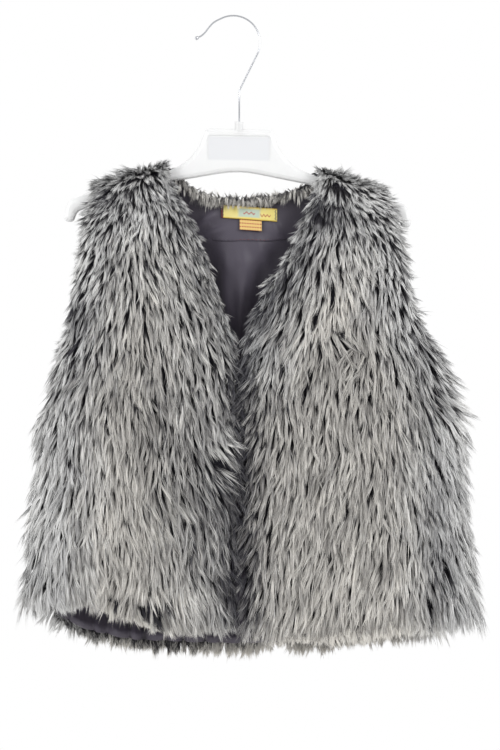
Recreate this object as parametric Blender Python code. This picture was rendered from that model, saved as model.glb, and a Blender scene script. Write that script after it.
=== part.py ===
"""A child's sleeveless jacket of long-pile fur cloth, hanging open on a moulded hanger.

Metres, +Z up, the front faces -Y.  The origin is the inside of the hook's crest, where a
rail carries it.  Right and left are the wearer's, so the right front is on the -X side.
"""
import math
from bisect import bisect_right
from collections import namedtuple

import bmesh
import bpy
from mathutils import Matrix, Vector

MM = 0.001

# Cloth
SEAM_GAP = 0.3 * MM
PILE = 12.0 * MM             # the fur cloth with its pile lying on it
EDGE_PILE = 0.40             # share of that height left at a free edge
EDGE_ROUND = 15.0 * MM       # how far in from a free edge the pile reaches its height
LOCK_RELIEF = 0.32           # share of the height between the root and the tip of a lock
LOCK_ROWS = 3                # rows of points along one lock
LOCK_STAGGER = (0, 2, 1, 0, 1, 2)
HEM_FRINGE = 5.0 * MM        # how far the locks step in and out along the hem
EDGE_FRINGE = 2.0 * MM       # the same along a front edge
LINING = 1.0 * MM
LINING_CLEAR = 0.8 * MM      # the lining hangs this far inside the fur cloth
LINING_SET_IN = 11.0 * MM    # from a free edge to the edge of the lining
NECK_SET_IN = 5.0 * MM       # the same at the back neck
TRIM = 0.8 * MM              # thickness of the facing, the label and the tab

# Hanger, in its own frame: X from its middle, Z from the top of its plate
HANGER_X = 3.7 * MM
HANGER_Z = -96.0 * MM
HANGER_TILT = math.radians(1.0)
HANGER_THICK = 8.4 * MM
HANGER_EDGE = 3.6 * MM
ARM_X = 60.0 * MM            # a point on the straight top of the arm
ARM_Z = -37.0 * MM
ARM_SLOPE = 0.303
PLATE_HALF = 29.0 * MM
WINDOW_WIDE = 54.0 * MM
WINDOW_HIGH = 22.0 * MM
WINDOW_Z = -17.0 * MM
WINDOW_DEEP = 1.2 * MM
WINDOW_CORNER = 2.5 * MM
BOSS_RADIUS = 4.0 * MM
BOSS_HIGH = 6.0 * MM
BORE_DEEP = 10.0 * MM

# Hook
WIRE_RADIUS = 1.2 * MM
HOOK_RADIUS = 23.0 * MM      # to the middle of the wire
HOOK_X = -1.5 * MM
HOOK_FROM = math.radians(128)
HOOK_TO = math.radians(-28)
HOOK_BALL = 2.4 * MM

# How the cloth sits on the hanger
SHOULDER_CLEAR = LINING_CLEAR + LINING + 0.8 * MM   # fur cloth above the hanger's arm
SHOULDER_ROLL = 7.0 * MM     # radius of the fur cloth over the arm
SHOULDER_IN = 57.5 * MM      # neck end of the shoulder seam, from the hanger's middle
SHOULDER_OUT = 126.5 * MM    # armhole end
ROLL_SHARE = 1 / 8           # share of a panel's rows on the roll over the arm
SETTLE = 110.0 * MM          # below the seam the columns have settled to the body's width
GAPE_FULL = 5.0 * MM         # an armhole gaping this far is clear of the side seam
SIDE_ROUND = 2.4             # power of the curve that turns the cloth in to the side seam
SIDE_CROWD = 1.7             # how far the columns crowd to the side

FRONT_COLUMNS = 14
BACK_COLUMNS = 26
PANEL_ROWS = 24
SLOPE_STEP = 0.004

# Half sections of the body: the cloth's edge on either side, its depth before and behind
# the hanger, and how far each armhole edge stands off the middle plane.
Section = namedtuple("Section", "z right left front back gape")
BODY = [Section(*(value * MM for value in row)) for row in (
    (-555, -169, 197, 31, 21, 0),
    (-500, -169, 196, 30, 20, 0),
    (-457, -167, 192, 28, 19, 0),
    (-414, -164, 188, 26, 18, 0),
    (-371, -159, 186, 24, 17, 0),
    (-345, -160, 188, 23, 16.5, 0),
    (-320, -160, 187, 21.5, 16, 5),
    (-294, -155, 180, 20, 15, 8),
    (-268, -147, 164, 18.5, 14, 10),
    (-242, -141, 153, 17, 13, 10),
    (-191, -133, 144, 13, 11, 9),
    (-166, -128, 137, 10, 9.5, 8),
    (-150, -122, 130, 8, 8, 7),
)]

# Lower edges, by the share of the width from the first side
Hem = namedtuple("Hem", "share z")
RIGHT_HEM = [Hem(share, z * MM) for share, z in (
    (0.0, -503), (0.13, -508), (0.31, -510), (0.45, -517), (0.58, -528), (0.80, -533), (1.0, -523))]
LEFT_HEM = [Hem(share, z * MM) for share, z in (
    (0.0, -512), (0.08, -523), (0.21, -529), (0.54, -536), (0.71, -540), (0.88, -535), (1.0, -533))]
BACK_HEM = [Hem(share, z * MM) for share, z in (
    (0.0, -505), (0.06, -530), (0.14, -542), (0.24, -549), (0.45, -551),
    (0.70, -549), (0.86, -541), (0.95, -529), (1.0, -513))]

# Front edges from the hem up, then the V of the neck
Edge = namedtuple("Edge", "z x")
RIGHT_EDGE = [Edge(z * MM, x * MM) for z, x in (
    (-540, 3.4), (-290, 3.4), (-273, 1.2), (-241, -9.8), (-190, -27.6), (-166, -38), (-131, -54))]
LEFT_EDGE = [Edge(z * MM, x * MM) for z, x in (
    (-540, 6.2), (-295, 6.2), (-278, 7.8), (-257, 13.7), (-235, 21.2),
    (-197, 44), (-170, 52.7), (-134, 61.5))]
FRONT_MIDDLE = 4.8 * MM

BACK_NECK_Z = -155.0 * MM
BACK_NECK_CURVE = 3.0        # power of the back neck's curve
BACK_NECK_TURN = 24.0        # how soon the back neck leaves the roll over the arm
BACK_SHOULDER_SHARE = 7 / BACK_COLUMNS
BACK_NECK_CROWD = 1.8        # how far the neck's columns crowd to its corners
LINING_NECK_TURN = 8.0       # how soon the lining's neck edge leaves the shoulder seam

# Soft folds: push is outwards
Fold = namedtuple("Fold", "panel x z half_width half_height push")
FOLDS = [Fold(panel, *(value * MM for value in row)) for panel, row in (
    ("right", (-112, -505, 30, 62, -9)),
    ("right", (-62, -430, 42, 110, 6)),
    ("right", (-80, -230, 30, 50, 3)),
    ("left", (128, -470, 34, 100, 5)),
    ("left", (70, -505, 26, 70, -5)),
    ("left", (95, -310, 36, 60, 4)),
    ("back", (-78, -470, 38, 110, 6)),
    ("back", (12, -450, 34, 120, -6)),
    ("back", (98, -480, 40, 110, 6)),
)]

# What lies on the back lining: X ends, Z of top and bottom at the middle, tilt, set-in
FACING_RIGHT = -44.0 * MM
FACING_LEFT = 50.0 * MM
FACING_BOTTOM = -189.0 * MM
LABEL_WIDE = 46.0 * MM
LABEL_HIGH = 12.0 * MM
LABEL_X = 13.0 * MM
LABEL_TOP = -162.6 * MM
LABEL_FALL = 0.085           # the label hangs lower at its left end
TAB_WIDE = 19.0 * MM
TAB_HIGH = 9.0 * MM


def smooth(rows, column, at):
    """A column of a table at a value of its first column, on a curve that never overshoots."""
    keys = [row[0] for row in rows]
    values = [getattr(row, column) for row in rows]
    if at <= keys[0]:
        return values[0]
    if at >= keys[-1]:
        return values[-1]
    rates = [(values[i + 1] - values[i]) / (keys[i + 1] - keys[i]) for i in range(len(keys) - 1)]

    def slope(i):
        if i == 0 or i == len(keys) - 1 or rates[i - 1] * rates[i] <= 0:
            return 0.0
        return 2 * rates[i - 1] * rates[i] / (rates[i - 1] + rates[i])

    i = bisect_right(keys, at) - 1
    span = keys[i + 1] - keys[i]
    t = (at - keys[i]) / span
    return (values[i] * (1 + 2 * t) * (1 - t) ** 2 + slope(i) * span * t * (1 - t) ** 2
            + values[i + 1] * t * t * (3 - 2 * t) + slope(i + 1) * span * t * t * (t - 1))


def mix(a, b, t):
    return a + (b - a) * t


def shoulder_z(x):
    """Height of the fur cloth's inside over the hanger's arm."""
    reach = abs(x - HANGER_X)
    level = HANGER_Z + ARM_Z - (reach - ARM_X) * ARM_SLOPE
    return level - (x - HANGER_X) * math.tan(HANGER_TILT) + SHOULDER_CLEAR


def drop_at(v, length, roll):
    """How far a row lies below the shoulder seam: the top rows go round the roll."""
    if v > 1 - ROLL_SHARE:
        return roll * (1 - math.cos((1 - v) / ROLL_SHARE * math.pi / 2))
    return roll + (length - roll) * (1 - ROLL_SHARE - v) / (1 - ROLL_SHARE)


def roll_rise(drop, roll):
    """Share of the depth reached at a drop below the seam."""
    return math.sqrt(max(0.0, 1 - (1 - min(drop / roll, 1.0)) ** 2))


def fold_push(panel, x, z):
    total = 0.0
    for fold in FOLDS:
        if fold.panel == panel:
            across = (x - fold.x) / fold.half_width
            along = (z - fold.z) / fold.half_height
            total += fold.push * math.exp(-across * across - along * along)
    return total


def side_bulge(across):
    """Share of the depth at a share of the way from the side to the middle."""
    return (1 - (1 - min(max(across, 0.0), 1.0)) ** SIDE_ROUND) ** (1 / SIDE_ROUND)


def armhole_share(z):
    return min(smooth(BODY, "gape", z) / GAPE_FULL, 1.0)


class Front:
    """One front: u runs from the side to the front edge, v from the hem to the shoulder."""

    def __init__(self, side, toward_side, hem, edge):
        self.side = side
        self.toward_side = toward_side      # +1 or -1, along X
        self.hem = hem
        self.edge = edge
        self.turn = -toward_side            # sign that points u x v outwards

    def side_x(self, z, inset, trim):
        return smooth(BODY, self.side, z) - self.toward_side * (inset + trim * armhole_share(z))

    def edge_x(self, z, trim):
        return smooth(self.edge, "x", z) + self.toward_side * trim

    def depth(self, x, z, inset):
        """How far the cloth stands before the hanger's middle plane."""
        side = self.side_x(z, inset, 0.0)
        gape = max(smooth(BODY, "gape", z) - inset, 0.0)
        full = smooth(BODY, "front", z) - inset
        bulge = side_bulge((x - side) / (FRONT_MIDDLE - side))
        out = gape + (full - gape) * bulge + fold_push(self.side, x, z)
        return out * roll_rise(shoulder_z(x) - inset - z, SHOULDER_ROLL - inset)

    def point(self, u, v, inset=0.0, trim=0.0):
        s = u ** SIDE_CROWD
        seam_x = HANGER_X + self.toward_side * mix(SHOULDER_OUT - trim, SHOULDER_IN + trim, s)
        seam_z = shoulder_z(seam_x) - inset
        length = seam_z - smooth(self.hem, "z", s) - trim
        drop = drop_at(v, length, SHOULDER_ROLL - inset)
        z = seam_z - drop
        settled = mix(self.side_x(z, inset, trim), self.edge_x(z, trim), s)
        at_seam = mix(self.side_x(seam_z, inset, trim), self.edge_x(seam_z, trim), s)
        x = settled + (seam_x - at_seam) * max(0.0, 1 - drop / SETTLE) ** 2
        return x, -SEAM_GAP / 2 - self.depth(x, z, inset), z

    def free_edges(self, point):
        """Distances from a point to the armhole, the front edge and the hem."""
        x, _, z = point
        armhole = mix(EDGE_ROUND, abs(x - smooth(BODY, self.side, z)), armhole_share(z))
        share = abs(x - smooth(BODY, self.side, z)) / abs(FRONT_MIDDLE - smooth(BODY, self.side, z))
        return armhole, abs(x - smooth(self.edge, "x", z)), z - smooth(self.hem, "z", share)

    def fringe(self, row, column):
        """Step of a lock at a free edge."""
        step = (row + column) % 2 - 0.5
        if row == 0:
            return Vector((0, 0, step * HEM_FRINGE))
        if column == FRONT_COLUMNS:
            return Vector((step * EDGE_FRINGE, 0, 0))
        return Vector()


class Back:
    """The back: u runs from the right side to the left, v from the hem up."""

    turn = -1

    def seam_x(self, u, trim):
        shoulder = BACK_SHOULDER_SHARE
        out, neck = SHOULDER_OUT - trim, SHOULDER_IN + trim
        if u < shoulder:
            return HANGER_X - mix(out, neck, u / shoulder)
        if u > 1 - shoulder:
            return HANGER_X + mix(out, neck, (1 - u) / shoulder)
        t = (u - 0.5) / (0.5 - shoulder)
        return HANGER_X + math.copysign(neck * (1 - (1 - abs(t)) ** BACK_NECK_CROWD), t)

    def side_x(self, side, z, inset, trim):
        inwards = 1 if side == "right" else -1
        return smooth(BODY, side, z) + inwards * (inset + trim * armhole_share(z))

    def top_z(self, x):
        """Upper edge of the fur cloth: the neck's curve between the two shoulder seams."""
        t = abs(x - HANGER_X) / SHOULDER_IN
        if t >= 1.0:
            return shoulder_z(x)
        corner = shoulder_z(HANGER_X + math.copysign(SHOULDER_IN, x - HANGER_X))
        return mix(BACK_NECK_Z, corner, t ** BACK_NECK_CURVE)

    def depth(self, x, z, inset):
        """How far the cloth stands behind the hanger's middle plane."""
        right = self.side_x("right", z, inset, 0.0)
        left = self.side_x("left", z, inset, 0.0)
        middle = (right + left) / 2
        across = (x - right) / (middle - right) if x < middle else (left - x) / (left - middle)
        gape = max(smooth(BODY, "gape", z) - inset, 0.0)
        full = smooth(BODY, "back", z) - inset
        out = gape + (full - gape) * side_bulge(across) + fold_push("back", x, z)
        on_roll = min(abs(x - HANGER_X) / SHOULDER_IN, 1.0) ** BACK_NECK_TURN
        return out * mix(1.0, roll_rise(self.top_z(x) - inset - z, SHOULDER_ROLL - inset), on_roll)

    def point(self, u, v, inset=0.0, trim=0.0):
        half = min(u, 1 - u) * 2
        s = half ** SIDE_CROWD / 2 if u < 0.5 else 1 - half ** SIDE_CROWD / 2
        seam_x = self.seam_x(u, trim)
        at_shoulder = min(abs(seam_x - HANGER_X) / (SHOULDER_IN + trim), 1.0) ** LINING_NECK_TURN
        seam_z = self.top_z(seam_x) - mix(min(trim, NECK_SET_IN), inset, at_shoulder)
        length = seam_z - smooth(BACK_HEM, "z", s) - trim
        drop = drop_at(v, length, SHOULDER_ROLL - inset)
        z = seam_z - drop
        settled = mix(self.side_x("right", z, inset, trim), self.side_x("left", z, inset, trim), s)
        at_seam = mix(self.side_x("right", seam_z, inset, trim),
                      self.side_x("left", seam_z, inset, trim), s)
        x = settled + (seam_x - at_seam) * max(0.0, 1 - drop / SETTLE) ** 2
        return x, SEAM_GAP / 2 + self.depth(x, z, inset), z

    def free_edges(self, point):
        """Distances from a point to the armholes, the neck and the hem."""
        x, _, z = point
        right = smooth(BODY, "right", z)
        left = smooth(BODY, "left", z)
        armhole = mix(EDGE_ROUND, min(x - right, left - x), armhole_share(z))
        neck = EDGE_ROUND
        if abs(x - HANGER_X) < SHOULDER_IN:
            neck = self.top_z(x) - z
        return armhole, neck, z - smooth(BACK_HEM, "z", (x - right) / (left - right))

    def fringe(self, row, column):
        if row == 0:
            return Vector((0, 0, HEM_FRINGE * (column % 2 - 0.5)))
        return Vector()


RIGHT_FRONT = Front("right", -1, RIGHT_HEM, RIGHT_EDGE)
LEFT_FRONT = Front("left", 1, LEFT_HEM, LEFT_EDGE)
BACK = Back()


def outward(panel, u, v):
    """Direction out of a panel's surface."""
    u0, u1 = max(u - SLOPE_STEP, 0.0), min(u + SLOPE_STEP, 1.0)
    v0, v1 = max(v - SLOPE_STEP, 0.0), min(v + SLOPE_STEP, 1.0)
    across = [b - a for a, b in zip(panel.point(u0, v), panel.point(u1, v))]
    along = [b - a for a, b in zip(panel.point(u, v0), panel.point(u, v1))]
    across = Vector(across).normalized()
    along = Vector([value / MM for value in along]).normalized()
    return across.cross(along).normalized() * panel.turn


def pile_height(panel, point, row, column):
    """Height of the pile: rounded off at free edges, stepped along each lock."""
    height = PILE
    for distance in panel.free_edges(point):
        inside = min(max(distance / EDGE_ROUND, 0.0), 1.0)
        height = min(height, PILE * mix(EDGE_PILE, 1.0, math.sqrt(1 - (1 - inside) ** 2)))
    along = (row + LOCK_STAGGER[column % len(LOCK_STAGGER)]) % LOCK_ROWS
    return height * (1 - LOCK_RELIEF * along / (LOCK_ROWS - 1))


def principled(name, colour, roughness, metallic=0.0):
    material = bpy.data.materials.new(name)
    material.use_nodes = True
    shader = material.node_tree.nodes["Principled BSDF"]
    shader.inputs["Base Color"].default_value = (*colour, 1.0)
    shader.inputs["Roughness"].default_value = roughness
    shader.inputs["Metallic"].default_value = metallic
    return material


def new_collection(name):
    collection = bpy.data.collections.new(name)
    bpy.context.scene.collection.children.link(collection)
    return collection


def wall(name, outer, inner, material):
    """A closed cloth wall lofted through rings, each one row of its outside and its inside."""
    bm = bmesh.new()
    rings = []
    for outer_row, inner_row in zip(outer, inner):
        rings.append([bm.verts.new(point) for point in outer_row + inner_row[::-1]])
    for lower, upper in zip(rings, rings[1:]):
        for k in range(len(lower)):
            n = (k + 1) % len(lower)
            bm.faces.new((lower[k], lower[n], upper[n], upper[k]))
    for ring in (rings[0], rings[-1]):
        for k in range(len(ring) // 2 - 1):
            bm.faces.new((ring[k], ring[k + 1], ring[-2 - k], ring[-1 - k]))
    bmesh.ops.recalc_face_normals(bm, faces=bm.faces)
    mesh = bpy.data.meshes.new(name)
    bm.to_mesh(mesh)
    bm.free()
    mesh.materials.append(material)
    part = bpy.data.objects.new(name, mesh)
    parts.objects.link(part)
    return part


def fur_panel(name, panel, columns, material):
    outer, inner = [], []
    for row in range(PANEL_ROWS + 1):
        v = row / PANEL_ROWS
        outer_row, inner_row = [], []
        for column in range(columns + 1):
            u = column / columns
            place = panel.point(u, v)
            base = Vector(place) + panel.fringe(row, column)
            height = pile_height(panel, place, row, column)
            inner_row.append(base)
            outer_row.append(base + outward(panel, u, v) * height)
        outer.append(outer_row)
        inner.append(inner_row)
    return wall(name, outer, inner, material)


def lining_panel(name, panel, columns, material):
    """The lining hangs just inside its panel and stops short of the free edges."""
    faces = []
    for inset in (LINING_CLEAR, LINING_CLEAR + LINING):
        faces.append([[Vector(panel.point(column / columns, row / PANEL_ROWS, inset, LINING_SET_IN))
                       for column in range(columns + 1)] for row in range(PANEL_ROWS + 1)])
    return wall(name, faces[0], faces[1], material)


def back_patch(name, layer, right, left, top, bottom, columns, rows, material):
    """A thin patch on the inside of the back, in layers counted from the lining."""
    faces = []
    for inset in (layer, layer + TRIM):
        grid = []
        for row in range(rows + 1):
            line = []
            for column in range(columns + 1):
                x = mix(right, left, column / columns)
                z = mix(bottom(x), top(x), row / rows)
                line.append(Vector((x, SEAM_GAP / 2 + BACK.depth(x, z, inset), z)))
            grid.append(line)
        faces.append(grid)
    return wall(name, faces[0], faces[1], material)


Corner = namedtuple("Corner", "x z radius")


def rounded(before, corner, after, steps):
    """Points of the arc that rounds a corner between its two neighbours."""
    here = Vector((corner.x, corner.z))
    to_before = (Vector((before.x, before.z)) - here).normalized()
    to_after = (Vector((after.x, after.z)) - here).normalized()
    half = to_before.angle(to_after) / 2
    if corner.radius == 0 or half > math.radians(89.5):
        return [here]
    middle = here + (to_before + to_after).normalized() * corner.radius / math.sin(half)
    start = here + to_before * corner.radius / math.tan(half) - middle
    end = here + to_after * corner.radius / math.tan(half) - middle
    sweep = start.angle_signed(end)
    return [middle + Matrix.Rotation(-sweep * k / steps, 2) @ start for k in range(steps + 1)]


def to_mesh_object(source, name):
    """A curve object made into a closed mesh object of the same place."""
    depsgraph = bpy.context.evaluated_depsgraph_get()
    mesh = bpy.data.meshes.new_from_object(source.evaluated_get(depsgraph))
    bm = bmesh.new()
    bm.from_mesh(mesh)
    bmesh.ops.remove_doubles(bm, verts=bm.verts, dist=0.01 * MM)
    bmesh.ops.recalc_face_normals(bm, faces=bm.faces)
    bm.to_mesh(mesh)
    bm.free()
    part = bpy.data.objects.new(name, mesh)
    part.matrix_world = source.matrix_world
    bpy.data.objects.remove(source)
    return part


def curve_object(name, points, cyclic):
    curve = bpy.data.curves.new(name, "CURVE")
    spline = curve.splines.new("POLY")
    spline.points.add(len(points) - 1)
    for target, point in zip(spline.points, points):
        target.co = (*point, 1.0)
    spline.use_cyclic_u = cyclic
    holder = bpy.data.objects.new(name + "_curve", curve)
    parts.objects.link(holder)
    return holder


def boolean(part, tool, operation):
    modifier = part.modifiers.new(operation.lower() + "_" + tool.name, "BOOLEAN")
    modifier.operation = operation
    modifier.object = tool


def tool_object(name, bm, place):
    """A hidden solid that cuts or joins a part."""
    mesh = bpy.data.meshes.new(name)
    bm.to_mesh(mesh)
    bm.free()
    tool = bpy.data.objects.new(name, mesh)
    tool.matrix_world = place
    tool.hide_render = True
    tool.display_type = "WIRE"
    cutters.objects.link(tool)
    return tool


def cylinder(radius, low, high):
    bm = bmesh.new()
    bmesh.ops.create_cone(bm, cap_ends=True, segments=20, radius1=radius, radius2=radius,
                          depth=high - low,
                          matrix=Matrix.Translation((0, 0, (low + high) / 2)))
    return bm


def window_block(face):
    """Block that sinks the window into one face of the hanger's plate."""
    bm = bmesh.new()
    size = Matrix.Diagonal((WINDOW_WIDE, WINDOW_DEEP * 2, WINDOW_HIGH, 1.0))
    middle = Matrix.Translation((0, face * HANGER_THICK / 2, WINDOW_Z))
    bmesh.ops.create_cube(bm, size=1.0, matrix=middle @ size)
    through = [edge for edge in bm.edges
               if abs((edge.verts[0].co - edge.verts[1].co).normalized().y) > 0.9]
    bmesh.ops.bevel(bm, geom=through, offset=WINDOW_CORNER, segments=3, profile=0.5,
                    affect="EDGES")
    return bm


def hanger_outline():
    """Half of the hanger from the plate's top to the arch, then its mirror image."""
    arm_end = 146.5 * MM
    half = [
        Corner(PLATE_HALF, 0.0, 3 * MM),
        Corner(36 * MM, ARM_Z + (ARM_X - 36 * MM) * ARM_SLOPE, 46 * MM),
        Corner(arm_end, ARM_Z - (arm_end - ARM_X) * ARM_SLOPE, 11 * MM),
        Corner(149.5 * MM, -82 * MM, 4 * MM),
        Corner(140.5 * MM, -82 * MM, 4 * MM),
        Corner(137.5 * MM, -73 * MM, 7 * MM),
        Corner(62 * MM, -47 * MM, 80 * MM),
    ]
    crest = Corner(0.0, -35.5 * MM, 90 * MM)
    ring = half + [crest] + [Corner(-c.x, c.z, c.radius) for c in reversed(half)]
    points = []
    for k, corner in enumerate(ring):
        points += rounded(ring[k - 1], corner, ring[(k + 1) % len(ring)], 4)
    return [(point.x, point.y, 0.0) for point in points]


def hanger_body():
    place = (Matrix.Translation((HANGER_X, 0, HANGER_Z))
             @ Matrix.Rotation(HANGER_TILT, 4, "Y"))
    upright = Matrix.Rotation(math.pi / 2, 4, "X")
    holder = curve_object("hanger_body", hanger_outline(), True)
    holder.data.dimensions = "2D"
    holder.data.fill_mode = "BOTH"
    holder.data.extrude = HANGER_THICK / 2 - HANGER_EDGE
    holder.data.bevel_depth = HANGER_EDGE
    holder.data.bevel_resolution = 1
    holder.data.offset = -HANGER_EDGE
    body = to_mesh_object(holder, "hanger_body")
    body.data.transform(upright)
    body.matrix_world = place
    parts.objects.link(body)
    boss = tool_object("hook_boss", cylinder(BOSS_RADIUS, -4 * MM, BOSS_HIGH), place)
    boolean(body, boss, "UNION")
    bore = cylinder(WIRE_RADIUS + SEAM_GAP, BOSS_HIGH - BORE_DEEP - SEAM_GAP, BOSS_HIGH + 5 * MM)
    straight = Matrix.Translation((HANGER_X, 0, HANGER_Z))
    boolean(body, tool_object("hook_bore", bore, straight), "DIFFERENCE")
    for face, name in ((-1, "front_window"), (1, "back_window")):
        boolean(body, tool_object(name, window_block(face), place), "DIFFERENCE")
    body.data.materials.append(principled("white_plastic", (0.86, 0.87, 0.88), 0.35))
    return body


def hanger_hook():
    """Wire from the ball end over the crest and down into the hanger's bore."""
    centre_z = WIRE_RADIUS - HOOK_RADIUS
    steps = 22
    arc = []
    for k in range(steps + 1):
        turn = mix(HOOK_FROM, HOOK_TO, k / steps)
        arc.append(Vector((HOOK_X + HOOK_RADIUS * math.cos(turn),
                           centre_z + HOOK_RADIUS * math.sin(turn))))
    foot_z = HANGER_Z + BOSS_HIGH - BORE_DEEP
    tip = Corner(-32.6 * MM, -18.0 * MM, 0)
    curl = Corner(-24.5 * MM, -14.0 * MM, 7 * MM)
    knee = Corner(HANGER_X, -63.0 * MM, 12 * MM)
    foot = Corner(HANGER_X, foot_z, 0)
    path = [Vector((tip.x, tip.z))]
    path += rounded(tip, curl, Corner(*arc[0], 0), 4)
    path += arc
    path += rounded(Corner(*arc[-1], 0), knee, foot, 5)
    path.append(Vector((foot.x, foot.z)))
    holder = curve_object("hanger_hook", [(p.x, 0.0, p.y) for p in path], False)
    holder.data.dimensions = "3D"
    holder.data.bevel_depth = WIRE_RADIUS
    holder.data.bevel_resolution = 2
    holder.data.use_fill_caps = True
    hook = to_mesh_object(holder, "hanger_hook")
    parts.objects.link(hook)
    ball = bmesh.new()
    bmesh.ops.create_uvsphere(ball, u_segments=12, v_segments=8, radius=HOOK_BALL)
    boolean(hook, tool_object("hook_ball", ball, Matrix.Translation((tip.x, 0, tip.z))), "UNION")
    hook.data.materials.append(principled("steel_wire", (0.55, 0.57, 0.60), 0.3, 1.0))
    return hook


def label_top(x):
    return LABEL_TOP - (x - LABEL_X) * LABEL_FALL


def label_bottom(x):
    return label_top(x) - LABEL_HIGH


def tab_top(x):
    return label_bottom(x) - SEAM_GAP


def tab_bottom(x):
    return tab_top(x) - TAB_HIGH


def facing_top(x):
    return BACK.top_z(x) - NECK_SET_IN - 1.5 * MM


def facing_bottom(x):
    return FACING_BOTTOM


def build():
    fur = principled("grey_fur", (0.30, 0.29, 0.28), 0.85)
    satin = principled("violet_grey_satin", (0.075, 0.065, 0.085), 0.38)
    fur_panel("right_front", RIGHT_FRONT, FRONT_COLUMNS, fur)
    fur_panel("left_front", LEFT_FRONT, FRONT_COLUMNS, fur)
    fur_panel("back", BACK, BACK_COLUMNS, fur)
    lining_panel("right_front_lining", RIGHT_FRONT, FRONT_COLUMNS, satin)
    lining_panel("left_front_lining", LEFT_FRONT, FRONT_COLUMNS, satin)
    lining_panel("back_lining", BACK, BACK_COLUMNS, satin)
    on_lining = LINING_CLEAR + LINING + SEAM_GAP
    on_facing = on_lining + TRIM + SEAM_GAP
    yellow = principled("yellow_weave", (0.80, 0.58, 0.12), 0.6)
    back_patch("back_neck_facing", on_lining, FACING_RIGHT, FACING_LEFT,
               facing_top, facing_bottom, 14, 4, satin)
    back_patch("neck_label", on_facing, LABEL_X - LABEL_WIDE / 2, LABEL_X + LABEL_WIDE / 2,
               label_top, label_bottom, 8, 2, yellow)
    back_patch("size_tab", on_facing, LABEL_X - TAB_WIDE / 2, LABEL_X + TAB_WIDE / 2,
               tab_top, tab_bottom, 4, 2, yellow)
    hanger_body()
    hanger_hook()


for leftover in list(bpy.data.objects):
    bpy.data.objects.remove(leftover)
parts = new_collection("sleeveless_jacket")
cutters = new_collection("cutters")
build()
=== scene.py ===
import math

import bmesh
import bpy
import numpy as np
from mathutils import Matrix, Vector


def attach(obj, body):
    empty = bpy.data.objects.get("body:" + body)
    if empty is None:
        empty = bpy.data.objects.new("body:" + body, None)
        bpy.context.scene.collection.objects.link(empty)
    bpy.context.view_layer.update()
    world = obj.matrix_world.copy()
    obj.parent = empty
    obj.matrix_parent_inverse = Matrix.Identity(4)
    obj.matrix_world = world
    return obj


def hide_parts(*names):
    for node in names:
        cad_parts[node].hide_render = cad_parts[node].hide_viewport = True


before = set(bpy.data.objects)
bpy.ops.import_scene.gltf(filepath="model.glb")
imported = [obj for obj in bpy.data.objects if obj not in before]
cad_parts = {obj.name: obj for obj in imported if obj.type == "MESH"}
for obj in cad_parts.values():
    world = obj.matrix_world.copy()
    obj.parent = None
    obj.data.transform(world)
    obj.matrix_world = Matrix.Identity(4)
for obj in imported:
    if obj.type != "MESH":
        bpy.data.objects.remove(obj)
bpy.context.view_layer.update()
mm = 0.001
scene = bpy.context.scene
print("frame loaded:", len(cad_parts), "nodes")

# camera where the photograph was taken: square on, level with the middle of the jacket
camera = {"x": 12.9, "z": -306.8, "away": 1800.0, "frameHigh": 642.86, "sensor": 36.0}

cameraData = bpy.data.cameras.new("camera")
cameraData.sensor_width = camera["sensor"]  # the frame is upright, so this is its height
cameraData.lens = camera["sensor"] * camera["away"] / camera["frameHigh"]
cameraObject = bpy.data.objects.new("camera", cameraData)
cameraObject.location = (camera["x"] * mm, -camera["away"] * mm, camera["z"] * mm)
cameraObject.rotation_euler = (math.pi / 2, 0, 0)
scene.collection.objects.link(cameraObject)
bpy.context.scene.camera = cameraObject
scene.view_settings.view_transform = "Standard"
print("camera set, lens", round(cameraData.lens, 1))


def linear(hexColour):  # sRGB hex to the linear colour a node wants
    parts = [int(hexColour[k:k + 2], 16) / 255 for k in (1, 3, 5)]
    return [p / 12.92 if p <= 0.04045 else ((p + 0.055) / 1.055) ** 2.4 for p in parts] + [1.0]


def setNode(tree, node, values):  # a node or a socket is linked, anything else is set
    for key, value in values.items():
        if isinstance(value, bpy.types.Node):
            value = value.outputs[2 if value.bl_idname == "ShaderNodeMix" else 0]
        if isinstance(value, bpy.types.NodeSocket):
            tree.links.new(value, node.inputs[key])
        elif isinstance(key, str) and key in node.bl_rna.properties:
            setattr(node, key, value)
        else:
            node.inputs[key].default_value = value
    return node


def addNode(tree, kind, values):
    return setNode(tree, tree.nodes.new("ShaderNode" + kind), values)


def startMaterial(name, sockets):
    material = bpy.data.materials.new(name)
    material.use_nodes = True
    tree = material.node_tree
    return material, tree, setNode(tree, tree.nodes["Principled BSDF"], sockets)


def newPiece(name, mesh, material, nodes=()):
    mesh.materials.append(material)
    piece = bpy.data.objects.new(name, mesh)
    scene.collection.objects.link(piece)
    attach(piece, "root")
    if nodes:
        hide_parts(*nodes)
    return piece


def meshFrom(name, points, faces):
    mesh = bpy.data.meshes.new(name)
    mesh.from_pydata([tuple(p) for p in points], [], [tuple(int(k) for k in f) for f in faces])
    bm = bmesh.new()
    bm.from_mesh(mesh)
    bmesh.ops.recalc_face_normals(bm, faces=bm.faces)
    bm.to_mesh(mesh)
    bm.free()
    mesh.shade_smooth()
    return mesh


def shellMesh(name, outer, inner):  # closed cloth between two grids of points
    rows, columns = outer.shape[:2]
    count = rows * columns
    grid = np.arange(count).reshape(rows, columns)
    quads = np.stack([grid[:-1, :-1], grid[:-1, 1:], grid[1:, 1:], grid[1:, :-1]], -1).reshape(-1, 4)
    rim = np.concatenate([grid[0, :], grid[1:, -1], grid[-1, -2::-1], grid[-2:0:-1, 0]])
    ahead = np.roll(rim, -1)
    edge = np.stack([ahead, rim, rim + count, ahead + count], -1)
    points = np.concatenate([outer.reshape(-1, 3), inner.reshape(-1, 3)])
    return meshFrom(name, points, np.concatenate([quads, quads[:, ::-1] + count, edge]))


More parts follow.
